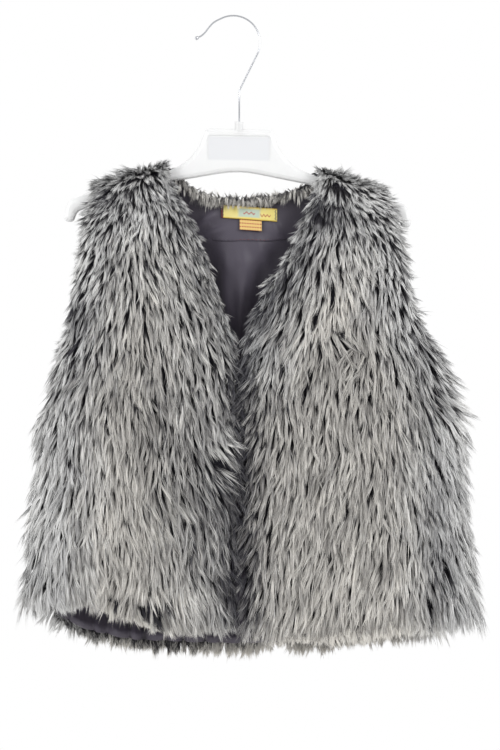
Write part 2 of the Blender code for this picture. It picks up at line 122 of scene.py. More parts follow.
# acrylic knit behind the pile: dark, matt, only glimpsed between the locks
backing = {"thick": 1.2 * mm, "loop": 1.4 * mm, "colour": "#29282f", "light": "#3a3941",
           "cutIn": {"arm": 8 * mm, "edge": 2.5 * mm, "vee": 5 * mm, "hem": 13 * mm, "neck": 2 * mm}}

backingKnit, tree, shader = startMaterial("acrylicKnitBacking", {"Roughness": 0.9, "Specular IOR Level": 0.2})
place = addNode(tree, "TexCoord", {}).outputs["Object"]
loops = addNode(tree, "TexVoronoi", {"Scale": 1 / backing["loop"], "Vector": place})
tint = addNode(tree, "Mix", {"data_type": "RGBA", 0: loops, 6: linear(backing["colour"]),
                             7: linear(backing["light"])})
relief = addNode(tree, "Bump", {"Strength": 0.5, "Distance": 0.4 * mm, "Height": loops})
setNode(tree, shader, {"Base Color": tint, "Normal": relief})

# the jacket's form, with the same named values as the solids
hanger = {"x": 3.7 * mm, "z": -96 * mm, "tilt": math.radians(1), "armX": 60 * mm, "armZ": -37 * mm,
          "armSlope": 0.303}
form = {"seamGap": 0.3 * mm, "shoulderClear": 2.6 * mm, "shoulderRoll": 7 * mm, "shoulderIn": 57.5 * mm,
        "shoulderOut": 126.5 * mm, "rollShare": 1 / 8, "settle": 110 * mm, "gapeFull": 5 * mm,
        "sideRound": 2.4, "sideCrowd": 1.7, "frontMiddle": 4.8 * mm, "neckZ": -155 * mm, "neckCurve": 3.0,
        "neckTurn": 24.0, "backShoulder": 7 / 26, "neckCrowd": 1.8, "liningNeckTurn": 8.0,
        "slopeStep": 0.004, "veeFrom": -300 * mm, "veeBlend": 30 * mm}

# z, right edge, left edge, depth before, depth behind, gape of the armhole
bodyRows = mm * np.array([
    (-555, -169, 197, 31, 21, 0), (-500, -169, 196, 30, 20, 0), (-457, -167, 192, 28, 19, 0),
    (-414, -164, 188, 26, 18, 0), (-371, -159, 186, 24, 17, 0), (-345, -160, 188, 23, 16.5, 0),
    (-320, -160, 187, 21.5, 16, 5), (-294, -155, 180, 20, 15, 8), (-268, -147, 164, 18.5, 14, 10),
    (-242, -141, 153, 17, 13, 10), (-191, -133, 144, 13, 11, 9), (-166, -128, 137, 10, 9.5, 8),
    (-150, -122, 130, 8, 8, 7)])
# hems of the cloth, the pile and the fringe: share of the width, then z
hems = {
    "right": [(0, -503), (0.13, -508), (0.31, -510), (0.45, -517), (0.58, -528), (0.80, -533), (1, -523)],
    "left": [(0, -512), (0.08, -523), (0.21, -529), (0.54, -536), (0.71, -540), (0.88, -535), (1, -533)],
    "back": [(0, -505), (0.06, -530), (0.14, -542), (0.24, -549), (0.45, -551), (0.70, -549), (0.86, -541),
             (0.95, -529), (1, -513)],
    "rightHair": [(0, -504), (0.11, -505), (0.3, -502), (0.37, -507), (0.47, -513.5), (0.565, -517.5),
                  (0.64, -522), (0.81, -524), (1, -523)],
    "leftHair": [(0, -515), (0.08, -515), (0.21, -517.5), (0.54, -523.5), (0.65, -529), (0.685, -530),
                 (0.735, -521), (0.785, -530), (0.83, -532), (0.88, -532), (1, -533)],
    "backHair": [(0, -511), (0.06, -529), (0.14, -539), (0.24, -547), (0.45, -551), (0.53, -550), (0.565, -536),
                 (0.61, -550), (0.67, -550), (0.71, -545), (0.75, -540.5), (0.86, -540), (0.95, -530), (1, -516)],
    "rightFringe": [(0, -505), (0.11, -508.5), (0.3, -506), (0.37, -511), (0.47, -518), (0.565, -520.5),
                    (0.64, -524), (0.81, -525), (1, -523)],
    "leftFringe": [(0, -513), (0.08, -521), (0.21, -526.5), (0.54, -535), (0.65, -538), (0.685, -537),
                   (0.735, -525), (0.785, -534), (0.83, -536), (0.88, -536), (1, -533)],
}
hems = {name: np.array(rows) * (1, mm) for name, rows in hems.items()}
# edges of the fronts: z, x
rightEdge = mm * np.array([(-540, 3.4), (-290, 3.4), (-273, 1.2), (-241, -9.8), (-190, -27.6), (-166, -38),
                           (-131, -54)])
leftEdge = mm * np.array([(-540, 6.2), (-295, 6.2), (-278, 7.8), (-257, 13.7), (-235, 21.2), (-197, 44), (-170, 52.7),
                          (-134, 61.5)])
# folds of the hang: x, z, half width, half height, push outwards
folds = {
    "right": mm * np.array([(-112, -505, 30, 62, -9), (-62, -430, 42, 110, 6), (-80, -230, 30, 50, 3)]),
    "left": mm * np.array([(128, -470, 34, 100, 5), (70, -505, 26, 70, -5), (95, -310, 36, 60, 4)]),
    "back": mm * np.array([(-78, -470, 38, 110, 6), (12, -450, 34, 120, -6), (98, -480, 40, 110, 6)]),
}
rightFront = {"side": "right", "column": 1, "toward": -1, "turn": 1, "edge": rightEdge, "neckEnd": 59 * mm,
              "hem": hems["right"], "hairHem": hems["rightHair"], "fringeHem": hems["rightFringe"],
              "coarse": 1.0, "strands": 14, "corner": 1.4, "hemPale": 0.08, "ragged": 3.6 * mm,
              "veePale": 0.74}
leftFront = {"side": "left", "column": 2, "toward": 1, "turn": -1, "edge": leftEdge, "neckEnd": 66 * mm,
             "hem": hems["left"], "hairHem": hems["leftHair"], "fringeHem": hems["leftFringe"],
             "coarse": 1.0, "strands": 14, "corner": 2.1, "hemPale": 0.16, "ragged": 2.6 * mm,
             "veePale": 0.92}
wholeBack = {"side": "back", "turn": -1, "hem": hems["back"], "hairHem": hems["backHair"],
             "fringeHem": hems["backHair"], "coarse": 1.4, "strands": 12, "ragged": 1.8 * mm}


def mix(a, b, t):
    return a + (b - a) * t


def share(value, low, span):  # 0 to 1 over a span
    return np.clip((value - low) / span, 0, 1)


def near(distance, reach, power=1.3):  # 1 at an edge, fading out away from it
    return np.exp(-(np.maximum(distance, 0) / reach) ** power)


def spot(x, z, atX, atZ, wide, high):  # 1 at a place, fading out around it
    return np.exp(-((x - atX) / wide) ** 2 - ((z - atZ) / high) ** 2)


def unit(vectors):
    return vectors / np.maximum(np.linalg.norm(vectors, axis=-1, keepdims=True), 1e-12)


def runOf(line):  # length of a line of points up to each of them
    return np.concatenate([[0], np.cumsum(np.linalg.norm(np.diff(line, axis=0), axis=1))])


def along(rows, column, at):  # a table's column on a curve that never overshoots
    keys, values = rows[:, 0], rows[:, column]
    rates = np.diff(values) / np.diff(keys)
    slopes = np.zeros(len(keys))
    same = rates[:-1] * rates[1:] > 0
    slopes[1:-1][same] = (2 * rates[:-1] * rates[1:])[same] / (rates[:-1] + rates[1:])[same]
    at = np.clip(at, keys[0], keys[-1])
    i = np.clip(np.searchsorted(keys, at, side="right") - 1, 0, len(keys) - 2)
    span = keys[i + 1] - keys[i]
    t = (at - keys[i]) / span
    return (values[i] * (1 + 2 * t) * (1 - t) ** 2 + slopes[i] * span * t * (1 - t) ** 2
            + values[i + 1] * t * t * (3 - 2 * t) + slopes[i + 1] * span * t * t * (t - 1))


def shoulderZ(x):
    level = hanger["z"] + hanger["armZ"] - (np.abs(x - hanger["x"]) - hanger["armX"]) * hanger["armSlope"]
    return level - (x - hanger["x"]) * math.tan(hanger["tilt"]) + form["shoulderClear"]


def dropAt(v, length, roll):
    onRoll = roll * (1 - np.cos((1 - v) / form["rollShare"] * math.pi / 2))
    below = roll + (length - roll) * (1 - form["rollShare"] - v) / (1 - form["rollShare"])
    return np.where(v > 1 - form["rollShare"], onRoll, below)


def rollRise(drop, roll):
    return np.sqrt(np.maximum(0, 1 - (1 - np.minimum(drop / roll, 1)) ** 2))


def foldPush(side, x, z):
    return sum(push * spot(x, z, *fold) for *fold, push in folds[side])


def sideBulge(across):
    return (1 - (1 - np.clip(across, 0, 1)) ** form["sideRound"]) ** (1 / form["sideRound"])


def gapeShare(z):
    return np.minimum(along(bodyRows, 5, z) / form["gapeFull"], 1)


def sideX(column, z, inset, trim):
    inwards = 1 if column == 1 else -1
    return along(bodyRows, column, z) + inwards * (inset + trim * gapeShare(z))


def veeShare(z):  # 1 along the V of the neck, 0 along the front edge
    return share(z, form["veeFrom"], form["veeBlend"])


def backShare(u):  # rows of the back crowd towards both sides
    half = (np.minimum(u, 1 - u) * 2) ** form["sideCrowd"] / 2
    return np.where(u < 0.5, half, 1 - half)


def fullDepth(column, across, z, inset):
    gape = np.maximum(along(bodyRows, 5, z) - inset, 0)
    return gape + (along(bodyRows, column, z) - inset - gape) * sideBulge(across)


def frontDepth(panel, x, z, inset):
    side = sideX(panel["column"], z, inset, 0)
    out = fullDepth(3, (x - side) / (form["frontMiddle"] - side), z, inset) + foldPush(panel["side"], x, z)
    return out * rollRise(shoulderZ(x) - inset - z, form["shoulderRoll"] - inset)


def frontPoint(panel, u, v, inset, cutIn):
    toward = panel["toward"]
    s = u ** form["sideCrowd"]
    seamX = hanger["x"] + toward * mix(form["shoulderOut"] - cutIn["arm"], panel["neckEnd"] + cutIn["vee"], s)
    seamZ = shoulderZ(seamX) - inset
    drop = dropAt(v, seamZ - along(panel["hem"], 1, s) - cutIn["hem"], form["shoulderRoll"] - inset)
    z = seamZ - drop

    def between(at):
        edge = along(panel["edge"], 1, at) + toward * mix(cutIn["edge"], cutIn["vee"], veeShare(at))
        return mix(sideX(panel["column"], at, inset, cutIn["arm"]), edge, s)

    x = between(z) + (seamX - between(seamZ)) * np.maximum(0, 1 - drop / form["settle"]) ** 2
    return np.stack([x, -form["seamGap"] / 2 - frontDepth(panel, x, z, inset), z], -1)


def neckHalf(x):  # half width of the back neck on that side
    return np.where(x < hanger["x"], rightFront["neckEnd"], leftFront["neckEnd"])


def neckTop(x):  # upper edge of the back's fur cloth
    t = np.abs(x - hanger["x"]) / neckHalf(x)
    corner = shoulderZ(hanger["x"] + np.copysign(neckHalf(x), x - hanger["x"]))
    return np.where(t >= 1, shoulderZ(x), mix(form["neckZ"], corner, np.minimum(t, 1) ** form["neckCurve"]))


def backDepth(x, z, inset):
    right, left = sideX(1, z, inset, 0), sideX(2, z, inset, 0)
    middle = (right + left) / 2
    across = np.where(x < middle, (x - right) / (middle - right), (left - x) / (left - middle))
    out = fullDepth(4, across, z, inset) + foldPush("back", x, z)
    onRoll = np.minimum(np.abs(x - hanger["x"]) / neckHalf(x), 1) ** form["neckTurn"]
    return out * mix(1.0, rollRise(neckTop(x) - inset - z, form["shoulderRoll"] - inset), onRoll)


def backPoint(u, v, inset, cutIn):
    s = backShare(u)
    shoulder, out = form["backShoulder"], form["shoulderOut"] - cutIn["arm"]
    neck = neckHalf(hanger["x"] + u - 0.5) + cutIn["vee"]
    t = np.clip((u - 0.5) / (0.5 - shoulder), -1, 1)
    neckX = np.copysign(neck * (1 - (1 - np.abs(t)) ** form["neckCrowd"]), t)
    seamX = hanger["x"] + np.where(u < shoulder, -mix(out, neck, u / shoulder),
                                   np.where(u > 1 - shoulder, mix(out, neck, (1 - u) / shoulder), neckX))
    atShoulder = np.minimum(np.abs(seamX - hanger["x"]) / neck, 1) ** form["liningNeckTurn"]
    seamZ = neckTop(seamX) - mix(cutIn["neck"], inset, atShoulder)
    drop = dropAt(v, seamZ - along(hems["back"], 1, s) - cutIn["hem"], form["shoulderRoll"] - inset)
    z = seamZ - drop

    def between(at):
        return mix(sideX(1, at, inset, cutIn["arm"]), sideX(2, at, inset, cutIn["arm"]), s)

    x = between(z) + (seamX - between(seamZ)) * np.maximum(0, 1 - drop / form["settle"]) ** 2
    return np.stack([x, form["seamGap"] / 2 + backDepth(x, z, inset), z], -1)


def panelPoint(panel, u, v, inset=0, cutIn=backing["cutIn"]):
    if panel is wholeBack:
        return backPoint(u, v, inset, cutIn)
    return frontPoint(panel, u, v, inset, cutIn)


def panelFrame(panel, u, v):  # place on the knit, way out of the cloth, way down the cloth
    step = form["slopeStep"]
    across = unit(panelPoint(panel, np.minimum(u + step, 1), v) - panelPoint(panel, np.maximum(u - step, 0), v))
    up = unit(panelPoint(panel, u, np.minimum(v + step, 1)) - panelPoint(panel, u, np.maximum(v - step, 0)))
    return panelPoint(panel, u, v), unit(np.cross(across, up)) * panel["turn"], -up


# dyed acrylic pile: charcoal at the root, bleached to a pale grey at the tip, softly lustrous;
# a strand's column on its map tells its tint, its tone and the length of its dark root
pile = {"root": "#2d2c34", "rootWarm": "#3b393d", "coolGrey": "#6c6c70", "coolPale": "#efefee",
        "warmGrey": "#6f6c6b", "warmPale": "#f1eee8", "tints": 3, "tones": 8, "roots": 4, "rootEnd": 0.16,
        "rootStep": 0.19, "blend": 0.34}
perTint = pile["tones"] * pile["roots"]

pileFibre, tree, shader = startMaterial("dyedAcrylicPile", {
    "Roughness": 0.55, "Specular IOR Level": 0.35, "Sheen Weight": 0.15, "Sheen Roughness": 0.5})
strandMap = addNode(tree, "UVMap", {"uv_map": "OFBake"})
split = addNode(tree, "SeparateXYZ", {0: strandMap})
columnAt = addNode(tree, "Math", {"operation": "MULTIPLY", 0: split.outputs[0], 1: pile["tints"] * perTint})
columnNo = addNode(tree, "Math", {"operation": "FLOOR", 0: columnAt})
tintAt = addNode(tree, "Math", {"operation": "DIVIDE", 0: columnNo, 1: perTint})
tintNo = addNode(tree, "Math", {"operation": "FLOOR", 0: tintAt})
warm = addNode(tree, "Math", {"operation": "DIVIDE", 0: tintNo, 1: pile["tints"] - 1})
inTint = addNode(tree, "Math", {"operation": "MODULO", 0: columnNo, 1: perTint})
toneAt = addNode(tree, "Math", {"operation": "DIVIDE", 0: inTint, 1: pile["roots"]})
toneNo = addNode(tree, "Math", {"operation": "FLOOR", 0: toneAt})
tone = addNode(tree, "Math", {"operation": "DIVIDE", 0: toneNo, 1: pile["tones"] - 1})
rootNo = addNode(tree, "Math", {"operation": "MODULO", 0: columnNo, 1: pile["roots"]})
rootEnd = addNode(tree, "Math", {"operation": "MULTIPLY_ADD", 0: rootNo, 1: pile["rootStep"], 2: pile["rootEnd"]})
paleFrom = addNode(tree, "Math", {"operation": "ADD", 0: rootEnd, 1: pile["blend"]})
bleach = addNode(tree, "MapRange", {"interpolation_type": "SMOOTHSTEP", "Value": split.outputs[1],
                                    "From Min": rootEnd, "From Max": paleFrom})
coolTip, warmTip, rootColour = [
    addNode(tree, "Mix", {"data_type": "RGBA", 0: tone, 6: linear(pile[low]), 7: linear(pile[high])})
    for low, high in (("coolGrey", "coolPale"), ("warmGrey", "warmPale"), ("root", "rootWarm"))]
tipColour = addNode(tree, "Mix", {"data_type": "RGBA", 0: warm, 6: coolTip, 7: warmTip})
strandColour = addNode(tree, "Mix", {"data_type": "RGBA", 0: bleach, 6: rootColour, 7: tipColour})
setNode(tree, shader, {"Base Color": strandColour})

# locks of pile: sizes in metres, angles in degrees
fur = {"seed": 41, "lockStep": 2.95 * mm, "rowStep": 6.3 * mm, "long": 31 * mm, "liftRoot": 42, "liftTip": 5,
       "spread": 1.8 * mm, "gather": 0.68, "stray": 0.14, "strayGather": 0.25, "loose": 0.55, "wide": 0.68 * mm,
       "bend": 11, "wave": 11, "core": 0.10, "speckle": 0.11, "tone": 0.62, "darkRoot": 0.5, "sideLean": 25,
       "sideReach": 34 * mm, "armLean": 35, "armReach": 28 * mm, "crown": 40 * mm, "crownFan": 30 * mm,
       "crownLift": 6, "crownPack": 0.40, "hemPack": 0.22, "hemSpare": 2.2 * mm, "raggedStep": 8 * mm,
       "shortest": 9 * mm, "cornerDrop": 15 * mm, "samples": 320, "steepest": 0.3}
crowns = {"right": (-77 * mm, -128 * mm), "left": (84 * mm, -138 * mm)}  # where the shoulder's pile parts
# the dark groove where the fronts meet: how far from the edge, added turn into it; its strands are coloured darker,
# partly dark roots where the pile parts and partly painted shade of the groove
grooves = {"right": (13.5 * mm, 2), "left": (16 * mm, 18)}
# pile out of order: x, z, radius, turn, added lift, added tone
ruffles = {
    "right": [(-17, -362, 9, 42, 14, 0.15), (-19, -386, 7, 40, 8, 0.15), (-100, -482, 20, -25, 10, 0),
              (-160, -493, 15, 40, 6, 0.05), (-84, -512, 12, 24, 8, 0.1), (-164, -305, 14, -22, 8, 0),
              (-170, -341, 11, 15, -6, 0), (-172, -366, 9, -12, 4, 0)],
    "left": [(91, -276, 12, 60, 20, -0.35), (103, -284, 10, -45, 10, 0), (62, -535, 10, 30, 10, -0.4),
             (182, -312, 17, 30, 6, 0.05), (178, -300, 14, 6, 8, 0), (189, -347, 12, -20, -6, 0)],
    "back": [(-40, -300, 16, 45, 15, -0.2), (85, -420, 18, -40, 12, -0.1), (184, -313, 17, -30, 6, 0.05),
             (-166, -307, 14, 20, 8, 0)],
}
# how the pile is combed: z, then the turn towards the middle at the side, three places between, and the edge
combs = {
    "right": [(-511, -10, 10, 20, 19, 13), (-472, -13, 12, 15, 11, 6), (-421, -14, 3, 10, 15, 14),
              (-370, -16, 4, 8, 11, 24), (-319, -22, -8, 5, 8, 22), (-243, -24, -9, 9, 18, 25),
              (-192, -33, -18, 9, 20, 27), (-165, -42, -26, 0, 14, 30)],
    "left": [(-511, -10, 4, 13, 10, 12), (-472, -16, 4, 13, 8, 10), (-421, -10, 1, 10, 8, 20),
             (-370, -24, -6, 9, 9, 14), (-345, -32, 0, -2, 4, 16), (-319, -36, -5, -2, -1, 22),
             (-294, -40, -6, 8, 12, 30), (-268, -38, -5, 2, 19, 36), (-243, -36, -2, 5, 21, 34),
             (-217, -26, -14, -5, 16, 34), (-192, -22, -22, 2, 14, 34), (-165, -36, -30, -6, 20, 38)],
}
combs = {side: np.array(rows) * (mm, 1, 1, 1, 1, 1) for side, rows in combs.items()}
# paler and darker places of the pile, partly its own patches, partly painted shade in hollows by the armholes, the V,
# the groove and the hem, and partly painted light over dark holes among the locks: x, z, half width, half height,
# added tone, added length of dark root
shades = {
    "right": [(-39, -397, 26, 85, -0.22, 0.4), (-17, -431, 14, 60, -0.10, 0.3), (-107, -414, 20, 70, 0.15, -0.2),
              (-128, -264, 16, 45, -0.18, 0.5), (-107, -155, 13, 10, -0.4, 1.0), (-77, -170, 18, 20, 0.2, -0.3),
              (-73, -328, 20, 35, -0.15, 0.2), (-34, -225, 11, 16, -0.2, 0.6), (-158, -418, 14, 66, 0.2, -0.2),
              (-164, -463, 16, 12, -0.3, 0.8), (-16, -360, 9, 6, 0.45, -1.6), (-18, -384, 8, 3.5, 0.4, -1.2),
              (-3, -472, 12, 20, -0.6, 1.8), (-2, -405, 9, 24, -0.25, 0.7), (0, -325, 9, 34, -0.25, 0.7),
              (-45, -478, 40, 26, 0.22, -0.5), (-70, -420, 50, 60, 0.05, -0.12), (-85, -238, 40, 42, 0.06, -0.2),
              (-124, -200, 13, 24, 0.36, -0.8), (-132, -238, 14, 15, -0.4, 1.3), (-139, -272, 11, 14, 0.25, -0.9),
              (-16, -468, 11, 17, -0.45, 1.2), (-4, -291, 9, 15, -0.5, 1.4), (-13, -386, 14, 17, -0.45, 1.2),
              (-160, -505, 16, 14, -0.05, 0.2), (-66, -495, 14, 9, -0.4, 1.2), (-47, -166, 11, 14, -0.3, 0.8)],
    "left": [(166, -455, 12, 62, -0.2, 1.6), (147, -440, 9, 45, 0.12, -0.4), (154, -285, 14, 35, -0.15, 0.4),
             (80, -158, 15, 12, -0.5, 1.2), (70, -164, 15, 14, -0.2, 0.6), (64, -195, 11, 10, -0.45, 1.1),
             (46, -221, 12, 16, -0.5, 1.4), (30, -245, 11, 14, -0.45, 1.3), (76, -250, 12, 26, 0.15, -0.2),
             (86, -208, 12, 22, 0.1, 0), (99, -431, 40, 80, 0.04, 0), (85, -245, 36, 38, 0.13, -0.35),
             (6, -360, 9, 40, -0.2, 0.5), (193, -491, 8, 25, -0.1, 0.3), (140, -212, 14, 44, 0.06, -0.1),
             (90, -480, 50, 36, 0.08, -0.25), (112, -509, 28, 9, -0.3, 1.0), (13, -283, 9, 20, -0.35, 1.0),
             (12, -364, 9, 13, -0.4, 1.1), (100, -196, 24, 11, 0.18, -0.5), (112, -151, 22, 10, 0.15, -0.5),
             (181, -332, 11, 13, 0.3, -1.2), (188, -498, 12, 14, -0.15, 0.5)],
    "back": [(-60, -380, 30, 80, 0.08, -0.1), (70, -360, 26, 70, -0.12, 0.3), (0, -480, 30, 60, -0.1, 0.3),
             (130, -450, 20, 70, 0.1, 0), (-130, -300, 18, 50, -0.15, 0.5)],
}
# gaps where the pile parts down to the dark knit: x, z, half width, half height
partings = {
    "right": [(-100, -501, 7, 5), (-71, -506, 8, 6), (-11.5, -383, 3.2, 6), (1, -486, 2, 20), (-130, -268, 1, 14),
              (-60, -352, 0.8, 12), (-37, -440, 0.8, 16)],
    "left": [(41, -304, 1.1, 20), (162, -318, 0.8, 14), (56, -534, 7, 5), (90, -275, 2.6, 3), (8, -484, 2, 18),
             (176, -470, 1, 22), (162, -498, 1, 16)],
    "back": [(-60, -330, 1, 16), (44, -400, 1, 20), (110, -350, 1, 18), (-20, -460, 1, 16)],
}
bareFrom = 3  # a parting with a greater half width, in millimetres, loses the locks above it
# one strand: steps of its spine, those kept as sections, their width; its points and triangles; how lengths and
# widths vary; drift of the tip in millimetres when astray and when not; half width, start and length on its map
strand = {"steps": 20, "sections": np.array([0, 8, 14, 20]), "taper": np.array([0.8, 1.0, 0.74]), "points": 7,
          "triangles": 5, "lengths": (0.78, 1.06), "widths": (0.7, 1.25), "drift": (2.0, 0.6), "mapHalf": 0.003,
          "mapFrom": 0.02, "mapLong": 0.96}


def evenly(count, rng):  # one place in each of equal steps from 0 to 1
    return (np.arange(count) + rng.uniform(0, 1, count)) / count


def lockRoots(panel, rng):
    fine = np.linspace(0, 1, fur["samples"])
    run = runOf(panelPoint(panel, 0 * fine + 0.5, fine))
    crowded = 1 - fur["crownPack"] * near(run[-1] - run, fur["crown"], 2) - fur["hemPack"] * near(run, 16 * mm)
    rowAt = np.concatenate([[0], np.cumsum(np.diff(run) / (fur["rowStep"] * panel["coarse"] * crowded[1:]))])
    us, vs = [], []
    for row in range(int(rowAt[-1]) + 1):
        v = np.interp(row + rng.uniform(0, 1), rowAt, fine)
        rowRun = runOf(panelPoint(panel, fine, 0 * fine + v))
        count = int(rowRun[-1] / (fur["lockStep"] * panel["coarse"] * np.interp(v, fine, crowded ** 0.6)))
        at = (np.arange(count) + 0.25 + 0.5 * (row % 2) + rng.uniform(-0.3, 0.3, count)) / count
        us.append(np.interp(at * rowRun[-1], rowRun, fine))
        vs.append(np.interp(row + rng.uniform(0, 1, count), rowAt, fine))
    return np.concatenate(us), np.concatenate(vs)


def ripple(x, z, size, seed):  # smooth uneven field, about -1 to 1
    rng = np.random.default_rng(seed)
    total = 0 * x
    for _ in range(6):
        way = rng.uniform(0, math.pi)
        pitch = size * rng.uniform(0.7, 1.5)
        total = total + np.sin((x * math.cos(way) + z * math.sin(way)) * 2 * math.pi / pitch
                               + rng.uniform(0, 2 * math.pi))
    return total / 3


def combed(table, across, z):  # turn of the pile between the places of a table
    turns = np.stack([along(table, k, z) for k in range(1, 6)])
    at = np.clip(across, 0, 1) * 4
    k, n = np.minimum(at.astype(int), 3), np.arange(len(z))
    return mix(turns[k, n], turns[k + 1, n], at - k)


def slopeOf(down, outwards):  # how far the cloth itself runs aside, in degrees
    return np.degrees(np.arctan2(down[:, 0] * -outwards, np.maximum(-down[:, 2], fur["steepest"])))


# how far from a panel's side, shoulder, hem or front edge its pile changes
fades = {"side": 26 * mm, "sideLift": 16 * mm, "sideLoose": 14 * mm, "sideCorner": 18 * mm, "armShort": 20 * mm,
         "hem": 30 * mm, "hemRoot": 34 * mm, "hemLoose": 16 * mm, "top": 50 * mm, "topTips": 15 * mm,
         "topLift": 20 * mm, "topShort": 34 * mm, "topLoose": 22 * mm, "topFine": 130 * mm, "edgeLift": 14 * mm,
         "edgeShort": 12 * mm, "edgeLoose": 20 * mm, "veeDark": 15 * mm, "backTop": 34 * mm, "backRoot": 30 * mm,
         "backShort": 26 * mm, "backHem": 18 * mm}
bellyFrom, bellyBlend = 350 * mm, 60 * mm  # below this the pile hangs fuller
armFrom, armBlend = -230 * mm, 40 * mm  # above this the pile by the armhole is shorter


def combFront(panel, root, down):  # how the pile of a front lies, lock by lock
    x, z = root[:, 0], root[:, 2]
    side, toward = panel["side"], panel["toward"]
    arm, inV = gapeShare(z), veeShare(z)
    sideGap = np.abs(x - along(bodyRows, panel["column"], z))
    edgeGap = np.abs(x - along(panel["edge"], 1, z))
    topGap = shoulderZ(x) - z
    across = np.clip(sideGap / np.abs(form["frontMiddle"] - along(bodyRows, panel["column"], z)), 0, 1)
    hemGap = z - along(panel["hem"], 1, across)
    lean = combed(combs[side], sideGap / (sideGap + edgeGap), z) - slopeOf(down, toward)
    crownX, crownZ = crowns[side]
    fan = np.degrees(np.arctan2((x - crownX) * -toward, np.maximum(crownZ - z, 7 * mm)))
    fan = np.where(fan > 0, fan * 0.6, fan * 0.92)
    lean = mix(lean, fan, 0.85 * near(topGap, fur["crownFan"], 2.0))
    lift = fur["liftRoot"] + fur["crownLift"] * near(topGap, fades["topLift"], 2)
    lift = lift + 10 * near(edgeGap, fades["edgeLift"])
    lift = lift + 9 * near(sideGap, fades["sideLift"])
    belly, upper = share(-z, bellyFrom, bellyBlend), near(topGap, fades["topFine"], 2)
    grooveWide, grooveTurn = grooves[side]
    # strands by the front edge, and more weakly along the V, are coloured darker: partly dark roots, partly painted
    # shade of the groove and the V
    dark = near(edgeGap, mix(grooveWide, fades["veeDark"], inV), 2.2) * mix(1.0, 0.38, inV)
    lean = lean + grooveTurn * dark * (1 - inV)
    toneAt = (fur["tone"] - 0.6 * dark + 0.2 * near(sideGap, fades["side"])
              + panel["hemPale"] * near(hemGap, fades["hem"]) - 0.05 * belly
              + 0.14 * near(topGap, fades["top"]) + 0.05 * near(topGap, fades["topTips"], 2))
    rootAt = (fur["darkRoot"] + 2.2 * dark + 1.1 * near(topGap, fades["top"])
              + 0.7 * arm * near(sideGap, fades["side"])
              - 2.5 * panel["hemPale"] * near(hemGap, fades["hemRoot"]) - 0.4 * belly
              - 0.5 * near(topGap, fades["topTips"], 2))
    long = fur["long"] * (1 - 0.18 * upper) * (1 - 0.34 * near(edgeGap, fades["edgeShort"]))
    long = long * (1 - 0.3 * near(topGap, fades["topShort"], 2))
    long = long * (1 - 0.2 * share(z, armFrom, armBlend) * near(sideGap, fades["armShort"]))
    long = long * (1 + 0.4 * near(sideGap, fades["sideCorner"]) * near(hemGap, fades["hem"]))
    loose = np.maximum.reduce([near(sideGap, fades["sideLoose"], 2), near(topGap, fades["topLoose"], 2),
                               near(hemGap, fades["hemLoose"], 2),
                               inV * near(edgeGap, fades["edgeLoose"], 2), 0.5 + 0.3 * belly])
    size = 1 - 0.26 * upper - 0.1 * np.maximum(belly, 1 - upper)
    return lean * -toward, lift, toneAt, rootAt, long, loose, size


def combBack(panel, root, down):
    x, z = root[:, 0], root[:, 2]
    arm = gapeShare(z)
    right, left = along(bodyRows, 1, z), along(bodyRows, 2, z)
    sideGap = np.minimum(x - right, left - x)
    outwards = np.where(x < (right + left) / 2, 1, -1)
    topGap, offNeck = neckTop(x) - z, np.abs(x - hanger["x"])
    hemGap = z - along(hems["back"], 1, share(x, right, left - right))
    lean = mix(fur["sideLean"], fur["armLean"], arm) * near(sideGap, mix(fur["sideReach"], fur["armReach"], arm))
    fan = 50 * np.clip((offNeck - 85 * mm) / (40 * mm), -1, 1)
    lean = lean - slopeOf(down, outwards)
    lean = mix(lean, fan, 0.8 * share(offNeck, 50 * mm, 20 * mm) * near(topGap, fur["crown"], 2.0))
    lift = fur["liftRoot"] + fur["crownLift"] * near(topGap, fades["topLift"], 2)
    lift = lift + 9 * near(sideGap, fades["sideLift"])
    toneAt = (fur["tone"] - 0.06 * near(topGap, fades["backTop"]) + 0.18 * near(sideGap, fades["side"])
              + 0.22 * near(hemGap, fades["hem"]))
    rootAt = (fur["darkRoot"] + 0.7 * near(topGap, fades["backRoot"]) + 0.7 * arm * near(sideGap, fades["side"])
              - 0.6 * near(hemGap, fades["hemRoot"]))
    upper = near(topGap, fades["topFine"], 2)
    long = fur["long"] * (1 - 0.14 * upper) * (1 - 0.34 * near(topGap, fades["backShort"], 2))
    long = long * (1 - 0.12 * share(z, armFrom, armBlend) * near(sideGap, fades["armShort"]))
    loose = np.maximum(near(sideGap, fades["sideLoose"], 2), near(hemGap, fades["backHem"], 2))
    return lean * outwards, lift, toneAt, rootAt, long, loose, 1 - 0.12 * upper


def strandMesh(name, points, uv):  # each strand a strip with a pointed end
    count, each = points.shape[:2]
    strip = np.array([0, 1, 3, 2, 2, 3, 5, 4, 4, 5, 6])
    corners = (np.arange(count)[:, None] * each + strip).ravel()
    starts = (np.arange(count)[:, None] * len(strip) + np.array([0, 4, 8])).ravel()
    mesh = bpy.data.meshes.new(name)
    mesh.vertices.add(count * each)
    mesh.vertices.foreach_set("co", points.astype(np.float32).ravel())
    mesh.loops.add(len(corners))
    mesh.loops.foreach_set("vertex_index", corners.astype(np.int32))
    mesh.polygons.add(len(starts))
    mesh.polygons.foreach_set("loop_start", starts.astype(np.int32))
    layer = mesh.uv_layers.new(name="OFBake")
    layer.uv.foreach_set("vector", uv.reshape(-1, 2)[corners].astype(np.float32).ravel())
    mesh.update(calc_edges=True)
    mesh.validate()
    mesh.shade_smooth()
    return mesh


